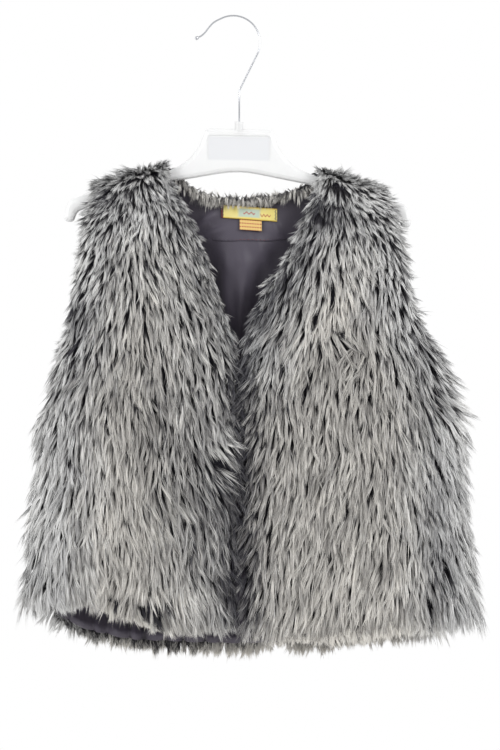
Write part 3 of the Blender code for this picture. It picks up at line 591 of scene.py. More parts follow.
def warmth(root):  # tips are warm on the broad of a panel, cool by its edges
    x, y, z = root.T
    side = share(np.minimum(x - along(bodyRows, 1, z), along(bodyRows, 2, z) - x), 18 * mm, 45 * mm)
    leftGap = x - along(leftEdge, 1, z)
    leftWarm = mix(leftGap / (50 * mm) - 0.3, 0.6 + leftGap / (100 * mm), share(-z, 285 * mm, 45 * mm))
    edge = np.where(x < 5 * mm, 0.2 + (along(rightEdge, 1, z) - x) / (110 * mm), leftWarm)
    top = np.clip((-150 * mm - z) / (40 * mm), 0.1, 1)
    return side * np.where(y < 0, np.clip(edge, 0, 1) * top, 1)


def growLocks(root, out, down, lean, lift, liftTip, long, toneAt, rootAt, rng, size, loose=1.0, strands=14,
              rootless=0.0):
    locks, steps, sections = len(root), strand["steps"], strand["sections"]
    size = np.broadcast_to(size, (locks,))[:, None, None]
    aside = np.cross(out, down)
    turn = np.radians(lean)[:, None]
    down, aside = (np.cos(turn) * down + np.sin(turn) * aside, np.cos(turn) * aside - np.sin(turn) * down)
    middle = (np.arange(steps) + 0.5) / steps
    rise = np.radians(liftTip[:, None] + (lift - liftTip)[:, None] * (1 - middle) ** 1.5)[..., None]
    bend = np.radians(rng.normal(0, fur["bend"], (locks, 1))) * (middle - 0.3)
    wave = np.radians(rng.uniform(0.3, 1, (locks, 1)) * fur["wave"])
    bend = (bend + wave * np.sin(2 * math.pi * (middle * 1.1 + rng.uniform(0, 1, (locks, 1)))))[..., None]
    heading = (np.cos(rise) * (np.cos(bend) * down[:, None] + np.sin(bend) * aside[:, None])
               + np.sin(rise) * out[:, None])
    spine = np.concatenate([np.zeros((locks, 1, 3)), np.cumsum(heading, 1) / steps], 1) * long[:, None, None]
    spine, heading = spine[:, sections], np.concatenate([heading, heading[:, -1:]], 1)[:, sections]

    each = (locks, strands, 1)
    fromCore = np.sqrt(rng.uniform(0, 1, each))
    around = rng.uniform(0, 2 * math.pi, each)
    offset = fromCore * fur["spread"] * size * (np.cos(around) * down[:, None] + np.sin(around) * aside[:, None])
    astray = rng.uniform(0, 1, each) < fur["stray"]
    closing = fur["gather"] * (1 - fur["loose"] * np.broadcast_to(loose, (locks,)))
    s = sections / steps
    shrink = 1 - np.where(astray, fur["strayGather"], closing[:, None, None]) * s ** 0.75
    part = rng.uniform(*strand["lengths"], each)
    drift = rng.normal(0, 1, (locks, strands, 3)) * np.where(astray, *strand["drift"]) * mm
    line = (root[:, None, None] + offset[:, :, None] * shrink[..., None]
            + spine[:, None] * part[..., None] + drift[:, :, None] * (s ** 2)[:, None])
    way = unit(heading)[:, None]
    flat = unit(np.cross(np.broadcast_to(out[:, None, None], way.shape), way))
    upright = np.cross(way, flat)
    roll = rng.uniform(-1.0, 1.0, each)[..., None]
    flat = np.cos(roll) * flat + np.sin(roll) * upright
    half = rng.uniform(*strand["widths"], each) * fur["wide"] * size ** 0.5 / 2
    half = half[..., None] * strand["taper"][:, None]
    points = np.empty((locks, strands, strand["points"], 3))
    points[:, :, 0:6:2] = line[:, :, :3] - flat[:, :, :3] * half
    points[:, :, 1:6:2] = line[:, :, :3] + flat[:, :, :3] * half
    points[:, :, 6] = line[:, :, 3]

    tints, tones, roots = pile["tints"], pile["tones"], pile["roots"]
    tint = (tints - 1) * warmth(root)[:, None] + np.random.default_rng(locks).normal(0, 0.3, (locks, strands))
    tint = np.clip(np.round(tint), 0, tints - 1)
    level = toneAt[:, None] + fur["core"] * (1 - 1.5 * fromCore[..., 0])
    level = np.floor(np.clip(level + rng.normal(0, fur["speckle"], (locks, strands)), 0, 0.999) * tones)
    rootLevel = np.clip(np.round(rootAt[:, None] + rng.normal(0, 0.5, (locks, strands))), 0, roots - 1)
    columnMid = ((tint * tones + level) * roots + rootLevel + 0.5) / (tints * tones * roots)
    uv = np.empty((locks, strands, strand["points"], 2))
    uv[..., 0] = columnMid[..., None] + np.array([-1, 1, -1, 1, -1, 1, 0]) * strand["mapHalf"]
    uv[..., 1] = strand["mapFrom"] + strand["mapLong"] * mix(rootless, 1.0, np.repeat(s, 2)[:strand["points"]])
    return points.reshape(-1, strand["points"], 3), uv.reshape(-1, strand["points"], 2)


def hemBelow(panel, u, key="hairHem"):  # z of the hem's edge below a point of a panel
    if panel is wholeBack:
        s = backShare(u)
        corner = 1.4 * near(1 - s, 0.05) + 0.4 * near(s, 0.05)
    else:
        s, corner = u ** form["sideCrowd"], near(u, 0.2) * panel["corner"]
    return along(panel[key], 1, s) - fur["cornerDrop"] * corner


def raggedHem(panel, x):  # the hem's hair ends in uneven points
    return panel["ragged"] * ripple(x, 0 * x, fur["raggedStep"], 171)


def knitGround(panel, node):  # the knit that carries a panel's pile
    columns, rows = (52, 44) if panel is wholeBack else (30, 44)
    gridU, gridV = np.meshgrid(np.linspace(0, 1, columns + 1), np.linspace(0, 1, rows + 1))
    ground, out, _ = panelFrame(panel, gridU.ravel(), gridV.ravel())
    shape = (rows + 1, columns + 1, 3)
    mesh = shellMesh(node + "_knit", (ground + out * backing["thick"]).reshape(shape), ground.reshape(shape))
    print(node, "cloth", round(sum(f.area for f in mesh.polygons) / 2, 4))
    return newPiece(node + "_knit", mesh, backingKnit, [node])


def dressPanel(panel, node, comb, bands, seed):
    rng = np.random.default_rng(seed)
    u, v = lockRoots(panel, rng)
    count = len(u)
    root, out, down = panelFrame(panel, u, v)
    lean, lift, toneAt, rootAt, long, loose, size = comb(panel, root, down)
    x, z = root[:, 0], root[:, 2]
    mmX, mmZ = x / mm, z / mm
    lean = lean + 7 * ripple(x, z, 60 * mm, seed + 1) + rng.normal(0, 8.5, count)
    toneAt = toneAt + 0.10 * ripple(x, z, 34 * mm, seed + 2) + rng.normal(0, 0.12, count)
    rootAt = rootAt + 0.28 * ripple(x, z, 26 * mm, seed + 3)
    lift = lift + rng.normal(0, 6, count)
    # the listed spots, partly painted shade and painted light
    for *place, light, dark in shades[panel["side"]]:
        inside = spot(mmX, mmZ, *place)
        toneAt, rootAt = toneAt + light * inside, rootAt + 0.75 * dark * inside
    for atX, atZ, radius, turn, more, light in ruffles[panel["side"]]:
        inside = spot(mmX, mmZ, atX, atZ, radius, radius)
        lean, lift, toneAt = lean + turn * inside, lift + more * inside, toneAt + light * inside
    long = long * rng.uniform(0.85, 1.12, count)
    spare = z - hemBelow(panel, u) + rng.normal(0.5, 1, count) * fur["hemSpare"] + raggedHem(panel, x)
    long = np.clip(spare / (0.92 * np.cos(np.radians(lean))), fur["shortest"], long)
    way = np.radians(lean) * (-1 if panel is wholeBack else 1)
    way = way + np.arctan2(down[:, 0], np.maximum(-down[:, 2], fur["steepest"]))
    bare = np.zeros(count, bool)
    for gapX, gapZ, halfWide, halfHigh in partings[panel["side"]]:
        reach = (z - gapZ * mm) / (0.9 * np.cos(way))
        crossX = (x + reach * np.sin(way)) / mm - gapX
        over = (np.abs(crossX) < halfWide + 0.6) & (reach > 0) & (rng.uniform(0, 1, count) < 0.8)
        long = np.where(over, np.minimum(long, np.maximum(reach - halfHigh * mm, 8 * mm)), long)
        if halfWide > bareFrom:
            bare = bare | (over & (reach < (8 + halfHigh) * mm))
        inside = ((mmX - gapX) / (halfWide + 1)) ** 2 + ((mmZ - gapZ) / (halfHigh + 1)) ** 2 < 1
        toneAt, rootAt = np.where(inside, toneAt * 0.4, toneAt), np.where(inside, 2.6, rootAt)
    liftTip = fur["liftTip"] + rng.normal(0, 4, count)
    points, uv = growLocks(root + out * backing["thick"] * 0.8, out, down, lean, lift, liftTip, long, toneAt, rootAt,
                           rng, size * panel["coarse"] ** 0.6, loose, panel["strands"])
    band = np.minimum((v * len(bands)).astype(int), len(bands) - 1)
    band = np.repeat(np.where(bare, -1, band), panel["strands"])
    pieces = []
    for k, bandName in enumerate(bands):
        mesh = strandMesh(node + bandName, points[band == k], uv[band == k])
        pieces.append(newPiece(node + bandName, mesh, pileFibre))
    print(node, "locks", count, "triangles", int(np.sum(band >= 0)) * strand["triangles"])
    return knitGround(panel, node), pieces


seed = fur["seed"]
rightKnit, rightPile = dressPanel(rightFront, "right_front", combFront, ["_fur_lower", "_fur_upper"], seed)
leftKnit, leftPile = dressPanel(leftFront, "left_front", combFront, ["_fur_lower", "_fur_upper"], seed + 10)
backKnit, backPile = dressPanel(wholeBack, "back", combBack, ["_fur_lower", "_fur_middle", "_fur_upper"], seed + 20)

# tufts that stand where the cloth turns over an edge
tufts = {"seamStep": 0.42 * mm, "seamLong": 15 * mm, "seamSize": 0.72, "neckStep": 0.3 * mm, "neckLong": 16 * mm,
         "neckSize": 0.5, "neckEnd": 27 * mm, "veeStep": 1.5 * mm, "veeLong": 15 * mm, "veeSize": 0.6,
         "hemLong": 13 * mm, "hemSize": 0.5, "armStep": 1.1 * mm, "armSize": 0.6, "armFrom": 0.45,
         "armLong": {-1: 13.5 * mm, 1: 17 * mm}, "sideRun": 190 * mm, "sideStep": 2.3 * mm, "sideLong": 27 * mm,
         "sideSize": 0.9}
# length of the shoulder's tufts: share of the seam from the neck, then factor
domes = {"right": ((0, 0.12, 0.22, 0.36, 0.5, 0.75, 1), (0.25, 0.45, 0.8, 1.5, 1.35, 0.95, 0.55)),
         "left": ((0, 0.12, 0.25, 0.5, 0.75, 1), (0.3, 0.55, 1.2, 1.2, 0.85, 0.6))}
# the back fringe's long dark roots are partly painted shade under the lining's hem
fringes = {"right": {"step": 0.75 * mm, "pale": 0.97, "dark": 0.0, "rootless": 0.5, "lift": 46, "inward": 30},
           "left": {"step": 0.7 * mm, "pale": 1.2, "dark": -0.5, "rootless": 0.85, "lift": 50, "inward": 20},
           "back": {"step": 0.62 * mm, "pale": 1.05, "dark": 2.4, "rootless": 0.0, "lift": 26, "inward": 24}}


def tuftPiece(name, root, out, heading, lift, liftTip, long, toneAt, rootAt, rng, size, rootless=0.0):
    down = unit(heading - out * np.sum(heading * out, -1, keepdims=True))
    points, uv = growLocks(root, out, down, rng.normal(0, 8, len(root)), lift, liftTip, long, toneAt, rootAt, rng,
                           size, rootless=rootless)
    print(name, "locks", len(root), "triangles", len(points) * strand["triangles"])
    return newPiece(name, strandMesh(name, points, uv), pileFibre)


def shoulderTufts(panel, name, seed):
    rng = np.random.default_rng(seed)
    seam = form["shoulderOut"] - form["shoulderIn"]
    count = int(seam / tufts["seamStep"])
    u = evenly(count, rng)
    root, out, _ = panelFrame(panel, u, 1 - 0.07 * rng.uniform(0, 1, count) ** 1.5)
    t = (np.abs(root[:, 0] - hanger["x"]) - form["shoulderIn"]) / seam
    heading = np.stack([panel["toward"] * (2.0 * (t - 0.3) + rng.normal(0, 0.3, count)),
                        np.where(rng.uniform(0, 1, count) < 0.6, -1, 1) * rng.uniform(0.2, 0.9, count),
                        np.zeros(count)], -1)
    return tuftPiece(name, root, unit(out + np.array([0, 0, 0.6])), unit(heading), rng.normal(46, 12, count),
                     rng.normal(8, 10, count),
                     tufts["seamLong"] * rng.uniform(0.75, 1.15, count) * np.interp(t, *domes[panel["side"]]),
                     rng.normal(0.66, 0.16, count), rng.normal(0.8, 0.4, count), rng, tufts["seamSize"])


def veeTufts(panel, name, seed):  # soft hair over the cut edge of the V
    rng = np.random.default_rng(seed)
    pale = panel["veePale"]
    count = int((shoulderZ(hanger["x"]) - form["veeFrom"]) / tufts["veeStep"]) * 2
    v = 0.46 + 0.51 * evenly(count, rng)
    root, out, down = panelFrame(panel, 1 - 0.05 * rng.uniform(0, 1, count), v)
    turn = np.radians(rng.normal(8, 8, count) + 30 * share(v, 0.84, 0.16))[:, None]
    heading = np.cos(turn) * down + np.sin(turn) * np.array([-panel["toward"], 0, 0])
    return tuftPiece(name, root + out * backing["thick"], out, heading, rng.normal(40, 10, count),
                     rng.normal(-4, 8, count), tufts["veeLong"] * rng.uniform(0.75, 1.15, count),
                     rng.normal(pale, 0.28, count), rng.normal(1.8 - pale, 0.55, count), rng, tufts["veeSize"])


def neckTufts(name, seed):
    rng = np.random.default_rng(seed)
    low, high = hanger["x"] - rightFront["neckEnd"], hanger["x"] + leftFront["neckEnd"]
    count = int((high - low) / tufts["neckStep"])
    x = low + evenly(count, rng) * (high - low)
    z = neckTop(x) - rng.uniform(1.5, 5, count) * mm
    root = np.stack([x, form["seamGap"] / 2 + backDepth(x, z, 0) + 0.8 * mm, z], -1)
    out = np.broadcast_to(unit(np.array([0, 0.12, 1.0])), root.shape)
    forward = rng.uniform(0, 1, count) < 0.72
    sway = 0.9 * np.sin(x / (8 * mm)) + rng.normal(0, 0.45, count)
    heading = np.stack([sway, np.where(forward, -1.0, 0.6), np.zeros(count)], -1)
    atEnd = near(np.minimum(x - low, high - x), tufts["neckEnd"], 3)
    return tuftPiece(name, root, out, unit(heading),
                     np.where(forward, 58 - 30 * atEnd, 70) + rng.normal(0, 8, count),
                     np.where(forward, -80, 30) + rng.normal(0, 10, count),
                     tufts["neckLong"] * rng.uniform(0.75, 1.2, count)
                     * np.where(forward, 1 + 0.3 * atEnd, 0.65 * (1 - 0.6 * atEnd)),
                     rng.normal(0.6, 0.3, count), rng.normal(1.0, 0.5, count), rng, tufts["neckSize"])


def hemFringe(panel, name, seed):  # short fine hair that closes a hem
    rng = np.random.default_rng(seed)
    fringe = fringes[panel["side"]]
    fine = np.linspace(0, 1, fur["samples"])
    line = panelPoint(panel, fine, 0 * fine)
    run = runOf(line)
    count = int(run[-1] / fringe["step"])
    u = np.interp(evenly(count, rng) * run[-1], run, fine)
    v = 0.03 * rng.uniform(0, 1, count)
    for gapX, _, halfWide, _ in partings[panel["side"]]:
        if halfWide > bareFrom:  # a gap above the hem stays open
            v = np.where(np.abs(np.interp(u, fine, line[:, 0]) / mm - gapX) < halfWide + 2, 0, v)
    root, out, down = panelFrame(panel, u, v)
    x = root[:, 0]
    spare = root[:, 2] - hemBelow(panel, u, "fringeHem") + rng.normal(-0.8, 1.3, count) * mm
    spare = spare + 1.3 * raggedHem(panel, x)
    towards = (raggedHem(panel, x + mm) - raggedHem(panel, x - mm)) / (4 * mm)  # locks gather to their long middle
    sway = 0.12 * np.sin(x / (13 * mm)) + 0.45 * np.clip(towards, -1, 1) + rng.normal(0, 0.15, count)
    sway = sway + 0.9 * np.exp(-((x + 160 * mm) / (18 * mm)) ** 2)  # the rounded corner curls in
    heading = unit(down + sway[:, None] * np.array([1, 0, 0]))
    dark = fringe["dark"] + ripple(x, 0 * x, 60 * mm, seed) * 0.3 - 1.5 * share(x, -42 * mm, 22 * mm)
    dark = dark + 0.5 * np.exp(-((x + 62 * mm) / (16 * mm)) ** 2)
    return tuftPiece(name, root + out * backing["thick"], out, heading, rng.normal(fringe["lift"], 8, count),
                     rng.normal(-fringe["inward"], 8, count), np.clip(spare / 0.9, 7 * mm, tufts["hemLong"] * 1.6),
                     rng.normal(fringe["pale"], 0.15, count), dark + rng.normal(0, 0.3, count), rng,
                     tufts["hemSize"], fringe["rootless"])


def armFringe(panel, name, side, seed):  # short hair out of the armhole's edge, a soft outline
    rng = np.random.default_rng(seed)
    fine = np.linspace(tufts["armFrom"], 1, 240)
    edge = 0.0 if side < 0 or panel is not wholeBack else 1.0
    run = runOf(panelPoint(panel, 0 * fine + edge, fine))
    count = int(run[-1] / tufts["armStep"])
    v = np.interp(evenly(count, rng) * run[-1], run, fine)
    root, out, down = panelFrame(panel, np.abs(edge - 0.012 * rng.uniform(0, 1, count)), v)
    topGap = shoulderZ(root[:, 0]) - root[:, 2]
    turn = np.radians(mix(26, 62, near(topGap, 46 * mm, 2)) + rng.normal(0, 11, count))[:, None]
    heading = np.cos(turn) * down + np.sin(turn) * np.array([side, 0, 0])
    return tuftPiece(name, root + out * backing["thick"], out, heading, rng.normal(24, 9, count),
                     rng.normal(-6, 9, count), tufts["armLong"][side] * rng.uniform(0.75, 1.12, count),
                     rng.normal(0.72, 0.18, count), rng.normal(0.7, 0.5, count), rng, tufts["armSize"])


def sideTufts(name, side, seed):  # hair that falls over the side seam
    rng = np.random.default_rng(seed)
    count = int(tufts["sideRun"] / tufts["sideStep"])
    v = 0.45 * evenly(count, rng) ** 1.25
    root, _, down = panelFrame(wholeBack, np.abs(max(side, 0) - 0.035 * rng.uniform(0, 1, count)), v)
    out = unit(np.stack([np.full(count, float(side)), rng.uniform(-0.4, 0.8, count), 0 * v], -1))
    heading = down + np.array([0, 1, 0]) * rng.normal(0.05, 0.16, count)[:, None]
    return tuftPiece(name, root, out, heading, rng.normal(22, 7, count), rng.normal(0, 6, count),
                     tufts["sideLong"] * rng.uniform(0.8, 1.1, count) * (1 + 0.3 * near(v, 0.06)),
                     rng.normal(0.64, 0.15, count), rng.normal(0.5, 0.4, count), rng, tufts["sideSize"])


for k, (panel, hair) in enumerate(((rightFront, rightPile), (leftFront, leftPile))):
    hair += [shoulderTufts(panel, panel["side"] + "_shoulder_tufts", seed + 30 + k),
             veeTufts(panel, panel["side"] + "_vee_tufts", seed + 33 + k),
             hemFringe(panel, panel["side"] + "_hem_fringe", seed + 35 + k),
             armFringe(panel, panel["side"] + "_arm_fringe", panel["toward"], seed + 38 + k)]
backPile += [neckTufts("back_neck_tufts", seed + 32), hemFringe(wholeBack, "back_hem_fringe", seed + 47),
             armFringe(wholeBack, "back_right_arm_fringe", -1, seed + 40),
             armFringe(wholeBack, "back_left_arm_fringe", 1, seed + 41),
             sideTufts("back_right_side_tufts", -1, seed + 50), sideTufts("back_left_side_tufts", 1, seed + 51)]

# polyester lining satin, woven then calendered: dark violet grey with a broad soft gloss;
# painted shade darkens its colour the deeper it lies inside the jacket, so hollows of folds come out darker than
# crests
satin = {"colour": "#4c4753", "light": "#5a5561", "paintedShade": "#2d2932", "bellied": 0.031, "crest": 0.3 * mm,
         "hollow": 4.9 * mm, "thread": 1.1 * mm, "cloud": 30 * mm}
bandScale = 0.314  # scale of a wave texture that repeats once in a metre

liningSatin, tree, shader = startMaterial("polyesterLiningSatin", {
    "Roughness": 0.5, "Specular IOR Level": 0.4, "Sheen Weight": 0.25, "Sheen Roughness": 0.35})
place = addNode(tree, "TexCoord", {}).outputs["Object"]
twill = addNode(tree, "TexWave", {"wave_type": "BANDS", "bands_direction": "DIAGONAL", "Distortion": 0.6,
                                  "Detail": 1.0, "Scale": bandScale / satin["thread"],
                                  "Vector": place})  # drawn coarser than the real twill, to show
cloudy = addNode(tree, "TexNoise", {"Scale": 1 / satin["cloud"], "Detail": 2.0, "Vector": place})
tint = addNode(tree, "Mix", {"data_type": "RGBA", 0: cloudy, 6: linear(satin["colour"]), 7: linear(satin["light"])})
at = addNode(tree, "SeparateXYZ", {0: place})
depth = addNode(tree, "Math", {"operation": "MULTIPLY_ADD", 0: at.outputs[2], 1: satin["bellied"],
                               2: at.outputs[1]})  # the back hangs deeper towards its hem
# painted shade: the deeper the satin lies inside the jacket, the darker its colour
paintedShade = addNode(tree, "MapRange", {"Value": depth, "From Min": satin["crest"], "From Max": satin["hollow"]})
tint = addNode(tree, "Mix", {"data_type": "RGBA", 0: paintedShade, 6: tint, 7: linear(satin["paintedShade"])})
relief = addNode(tree, "Bump", {"Strength": 0.12, "Distance": 0.15 * mm, "Height": twill.outputs["Fac"]})
setNode(tree, shader, {"Base Color": tint, "Normal": relief})

lining = {"clear": 0.8 * mm, "thick": 0.7 * mm, "rowShare": (0, 0.12, 0.2, 0.34, 1),
          "rowV": (0, 0.016, 0.06, 0.45, 1), "roll": 4.7 * mm, "rollUp": 5.4 * mm, "rollHalf": 5.6 * mm,
          "pucker": 5.2 * mm, "puckerUp": 20 * mm, "flatTop": 156 * mm, "flatBlend": 14 * mm, "flatSide": 0.06,
          "cutIn": {"arm": 11 * mm, "edge": 11 * mm, "vee": 11 * mm, "hem": 13 * mm, "neck": 5 * mm}}
# creases of the lining: x, z, half width, half height, slant, rise into the jacket
creases = {
    "back": [(5, -246, 3.5, 34, 2, 3.0), (-6, -211, 4, 9, 32, 3.0), (8, -208, 3.5, 9, -36, 2.6),
             (-9, -240, 3.5, 24, -5, 2.6), (22, -200, 4, 18, -24, 2.6), (-24, -172, 4, 12, 48, 3.2),
             (-19, -184, 3.5, 12, 66, 2.8), (34, -180, 4, 14, -30, 2.6), (-78, -400, 14, 95, 5, 3.0),
             (64, -385, 17, 110, -7, 3.6), (128, -430, 12, 85, 6, 2.6), (-128, -440, 11, 80, -4, 2.4),
             (10, -430, 12, 90, 3, 2.2)],
    "right": [(-40, -400, 12, 95, 6, 2.6), (-95, -360, 14, 100, -5, 3.0), (-70, -250, 10, 55, 8, 2.0)],
    "left": [(48, -410, 12, 95, -6, 2.6), (100, -370, 15, 100, 4, 3.2), (80, -255, 10, 55, -7, 2.0)],
}
# how the back lining hangs forward in the V: z, middle, half width, rise
veeBelly = mm * np.array([(-350, 0.8, 7, 0), (-290, 1.0, 7, 5), (-261, 2.0, 9, 5.5), (-233, 2.8, 12.5, 6),
                          (-214, 3.4, 16.5, 6.5), (-191, 8.8, 27, 5.5), (-175, 10, 32, 2), (-158, 10, 36, 0)])
# puckers over the hem: x, half width
hemPuckers = [(-150, 3.0), (-131, 4.5), (-118, 3.5), (-101, 5.0), (-86, 3.2), (-70, 4.8), (-52, 3.6), (-37, 5.2),
              (-19, 3.4), (-2, 4.6), (17, 3.8), (33, 5.0), (52, 3.4), (70, 4.4), (88, 3.6), (107, 5.0),
              (125, 3.4), (143, 4.6), (161, 3.4), (176, 3.8)]


def liningRise(side, x, z):
    total = 0 * x
    for creaseX, creaseZ, wide, high, slant, rise in creases[side]:
        turn = math.radians(slant)
        dx, dz = x / mm - creaseX, z / mm - creaseZ
        a, b = dx * math.cos(turn) - dz * math.sin(turn), dx * math.sin(turn) + dz * math.cos(turn)
        total = total + rise * np.exp(-(a / wide) ** 2 - (b / high) ** 2)
    if side == "back":
        belly = np.exp(-((x - along(veeBelly, 1, z)) / along(veeBelly, 2, z)) ** 4)
        return total * mm + along(veeBelly, 3, z) * belly
    return total * mm


def flatTop(z):  # the lining lies flat at the neck
    return share(-z, lining["flatTop"], lining["flatBlend"])


def puckerRise(hemGap, x):
    total = 0 * x
    for at, wide in hemPuckers:
        total = total + np.exp(-((x / mm - at) / wide) ** 2) - 0.9 * np.exp(-((x / mm - at - 2.1 * wide) / 1.7) ** 2)
    return lining["pucker"] * total * near(hemGap, lining["puckerUp"], 1.6)


def linePanel(panel, node, columns, rows):
    rowV = np.interp(np.linspace(0, 1, rows + 1), lining["rowShare"], lining["rowV"])
    gridU, gridV = np.meshgrid(np.linspace(0, 1, columns + 1), rowV)
    faces = []
    for inset in (lining["clear"], lining["clear"] + lining["thick"]):
        points = panelPoint(panel, gridU, gridV, inset, lining["cutIn"])
        x, z = points[..., 0], points[..., 2]
        right, left = along(bodyRows, 1, z), along(bodyRows, 2, z)
        hemShare = share(x, right, left - right) if panel is wholeBack else gridU ** form["sideCrowd"]
        hemGap = z - lining["cutIn"]["hem"] - along(panel["hem"], 1, hemShare)
        rise = liningRise(panel["side"], x, z) + puckerRise(hemGap, x)
        rise = rise + (lining["roll"] * (1 + 0.3 * ripple(x, 0 * x, 22 * mm, 77))
                       * np.exp(-((hemGap - lining["rollUp"]) / lining["rollHalf"]) ** 2))
        edges = np.minimum(np.minimum(gridU, 1 - gridU) / lining["flatSide"], 1) * flatTop(z)
        points[..., 1] += rise * edges * (-1 if panel is wholeBack else 1)
        faces.append(points)
    mesh = shellMesh(node + "_satin", *faces)
    piece = newPiece(node + "_satin", mesh, liningSatin, [node])
    print(node, "cloth", round(sum(f.area for f in mesh.polygons) / 2, 4))


linePanel(rightFront, "right_front_lining", 48, 46)
linePanel(leftFront, "left_front_lining", 48, 46)
linePanel(wholeBack, "back_lining", 176, 50)

# facing: ends and lower edge; label and tab: middle, width, height; layers: how far inside the jacket
trim = {"facing": (-47 * mm, 65 * mm, -192 * mm), "facingTop": 6.5 * mm, "facingLayer": 1.7 * mm, "sag": 2.0 * mm,
        "label": (12.2 * mm, 48 * mm, 11.2 * mm), "labelTop": -162.1 * mm, "fall": 0.074, "labelLayer": 3.0 * mm,
        "tab": (13.5 * mm, 19 * mm, 9 * mm), "tabGap": 0.3 * mm, "thick": 0.35 * mm, "bow": 0.9 * mm,
        "curl": 1.1 * mm, "stitch": 2.3 * mm, "stitchGap": 1.1 * mm, "thread": 0.28 * mm}
facingLeft, facingRight, facingZ = trim["facing"]
labelX, labelWide, labelHigh = trim["label"]
tabX, tabWide, tabHigh = trim["tab"]


def onLining(x, z, layer):  # y of a layer that lies on the back lining
    return form["seamGap"] / 2 + backDepth(x, z, layer) - liningRise("back", x, z) * flatTop(z)


def patchPiece(name, xs, low, top, rows, layer, lift, material, node):
    up = np.linspace(0, 1, rows + 1)[:, None]
    x = np.broadcast_to(xs, (rows + 1, len(xs)))
    z = mix(low(xs), top(xs), up)
    faces = [np.stack([x, onLining(x, z, layer + thick) - lift(x, up), z], -1) for thick in (0, trim["thick"])]
    return newPiece(name, shellMesh(name, *faces), material, [node])


def tubeMesh(name, paths, sides):  # round threads and wires; each path has its radii
    points, faces, start = [], [], 0
    turn = np.arange(sides) / sides * 2 * math.pi
    for line, radii in paths:
        line, radii = np.asarray(line), np.asarray(radii)[:, None, None]
        aside = unit(np.cross(unit(np.gradient(line, axis=0)), (0, 1, 0)))[:, None]
        rings = line[:, None] + radii * (np.cos(turn)[:, None] * aside + np.sin(turn)[:, None] * np.array([0, 1, 0]))
        points.append(rings.reshape(-1, 3))
        grid = start + np.arange(len(line) * sides).reshape(len(line), sides)
        ahead = np.roll(grid, -1, 1)
        faces += np.stack([grid[:-1], ahead[:-1], ahead[1:], grid[1:]], -1).reshape(-1, 4).tolist()
        faces += [grid[0].tolist(), grid[-1].tolist()]
        start += len(line) * sides
    return meshFrom(name, np.concatenate(points), faces)


def facingLow(x):  # its lower edge hangs a little lower in the middle
    return facingZ + trim["sag"] * ((x - 9 * mm) / (40 * mm)) ** 2 + 0.4 * mm * np.sin(x / (6 * mm))


facingPiece = patchPiece("back_neck_facing_satin", np.linspace(facingLeft, facingRight, 71), facingLow,
                         lambda x: neckTop(x) - trim["facingTop"], 24, trim["facingLayer"], lambda x, t: 0 * x,
                         liningSatin, "back_neck_facing")

# damask-woven ribbon: bright yellow and ribbed, one end brown, a pale oblong with a zigzag and a waved line
ribbon = {"yellow": "#ecd65f", "pale": "#f1e6a4", "edge": "#d9b84a", "red": "#b4483f", "green": "#c3d3c2",
          "brown": "#6f2a26", "tab": "#ecca7e", "oblong": (9.5 * mm, 3.6 * mm), "saw": 2.0 * mm, "sawLong": 5.0 * mm,
          "wave": 3.0 * mm, "waveHigh": 0.8 * mm, "waveLow": 1.2 * mm, "waveX": 14 * mm, "waveLong": 4.4 * mm,
          "dash": 1.1 * mm, "dashLong": 0.7 * mm, "tabRow": 1.5 * mm, "brownEnd": 22.0 * mm, "line": 0.5 * mm,
          "rib": 0.9 * mm, "cloud": 14 * mm}
labelHalf = labelHigh / 2

labelRibbon, tree, shader = startMaterial("damaskWovenRibbon", {"Roughness": 0.62, "Sheen Weight": 0.2})
place = addNode(tree, "TexCoord", {}).outputs["Object"]
at = addNode(tree, "SeparateXYZ", {0: place})
level = addNode(tree, "Math", {"operation": "MULTIPLY_ADD", 0: at.outputs[0], 1: trim["fall"], 2: at.outputs[2]})
height = addNode(tree, "Math", {"operation": "SUBTRACT", 0: level,
                                1: trim["labelTop"] + labelX * trim["fall"] - labelHalf})
across = addNode(tree, "Math", {"operation": "SUBTRACT", 0: at.outputs[0], 1: labelX})
away = addNode(tree, "Math", {"operation": "ABSOLUTE", 0: height})
aside = addNode(tree, "Math", {"operation": "ABSOLUTE", 0: across})
cloudy = addNode(tree, "TexNoise", {"Scale": 1 / ribbon["cloud"], "Detail": 1.0, "Vector": place})
woven = addNode(tree, "Mix", {"data_type": "RGBA", 0: cloudy, 6: linear(ribbon["yellow"]), 7: linear(ribbon["pale"])})
border = addNode(tree, "MapRange", {"Value": away, "From Min": labelHalf - 1.1 * mm,
                                    "From Max": labelHalf - 0.5 * mm})
onTab = addNode(tree, "MapRange", {"Value": height, "From Min": -labelHalf - 0.05 * mm,
                                   "From Max": -labelHalf - 0.15 * mm})
brownEnd = addNode(tree, "MapRange", {"Value": across, "From Min": -ribbon["brownEnd"],
                                      "From Max": -ribbon["brownEnd"] - 0.5 * mm})
wideShare = addNode(tree, "Math", {"operation": "DIVIDE", 0: aside, 1: ribbon["oblong"][0]})
highShare = addNode(tree, "Math", {"operation": "DIVIDE", 0: away, 1: ribbon["oblong"][1]})
boxShare = addNode(tree, "Math", {"operation": "MAXIMUM", 0: wideShare, 1: highShare})
inOblong = addNode(tree, "MapRange", {"Value": boxShare, "From Min": 1.1, "From Max": 0.85})
saw = addNode(tree, "Math", {"operation": "PINGPONG", 0: at.outputs[0], 1: ribbon["saw"]})
sawLine = addNode(tree, "Math", {"operation": "SUBTRACT", 0: height, 1: saw})
sawMid = addNode(tree, "Math", {"operation": "ADD", 0: sawLine, 1: ribbon["saw"] / 2})
phase = addNode(tree, "Math", {"operation": "MULTIPLY", 0: at.outputs[0], 1: 2 * math.pi / ribbon["wave"]})
swing = addNode(tree, "Math", {"operation": "SINE", 0: phase})
waveLine = addNode(tree, "Math", {"operation": "MULTIPLY_ADD", 0: swing, 1: -ribbon["waveHigh"], 2: height})
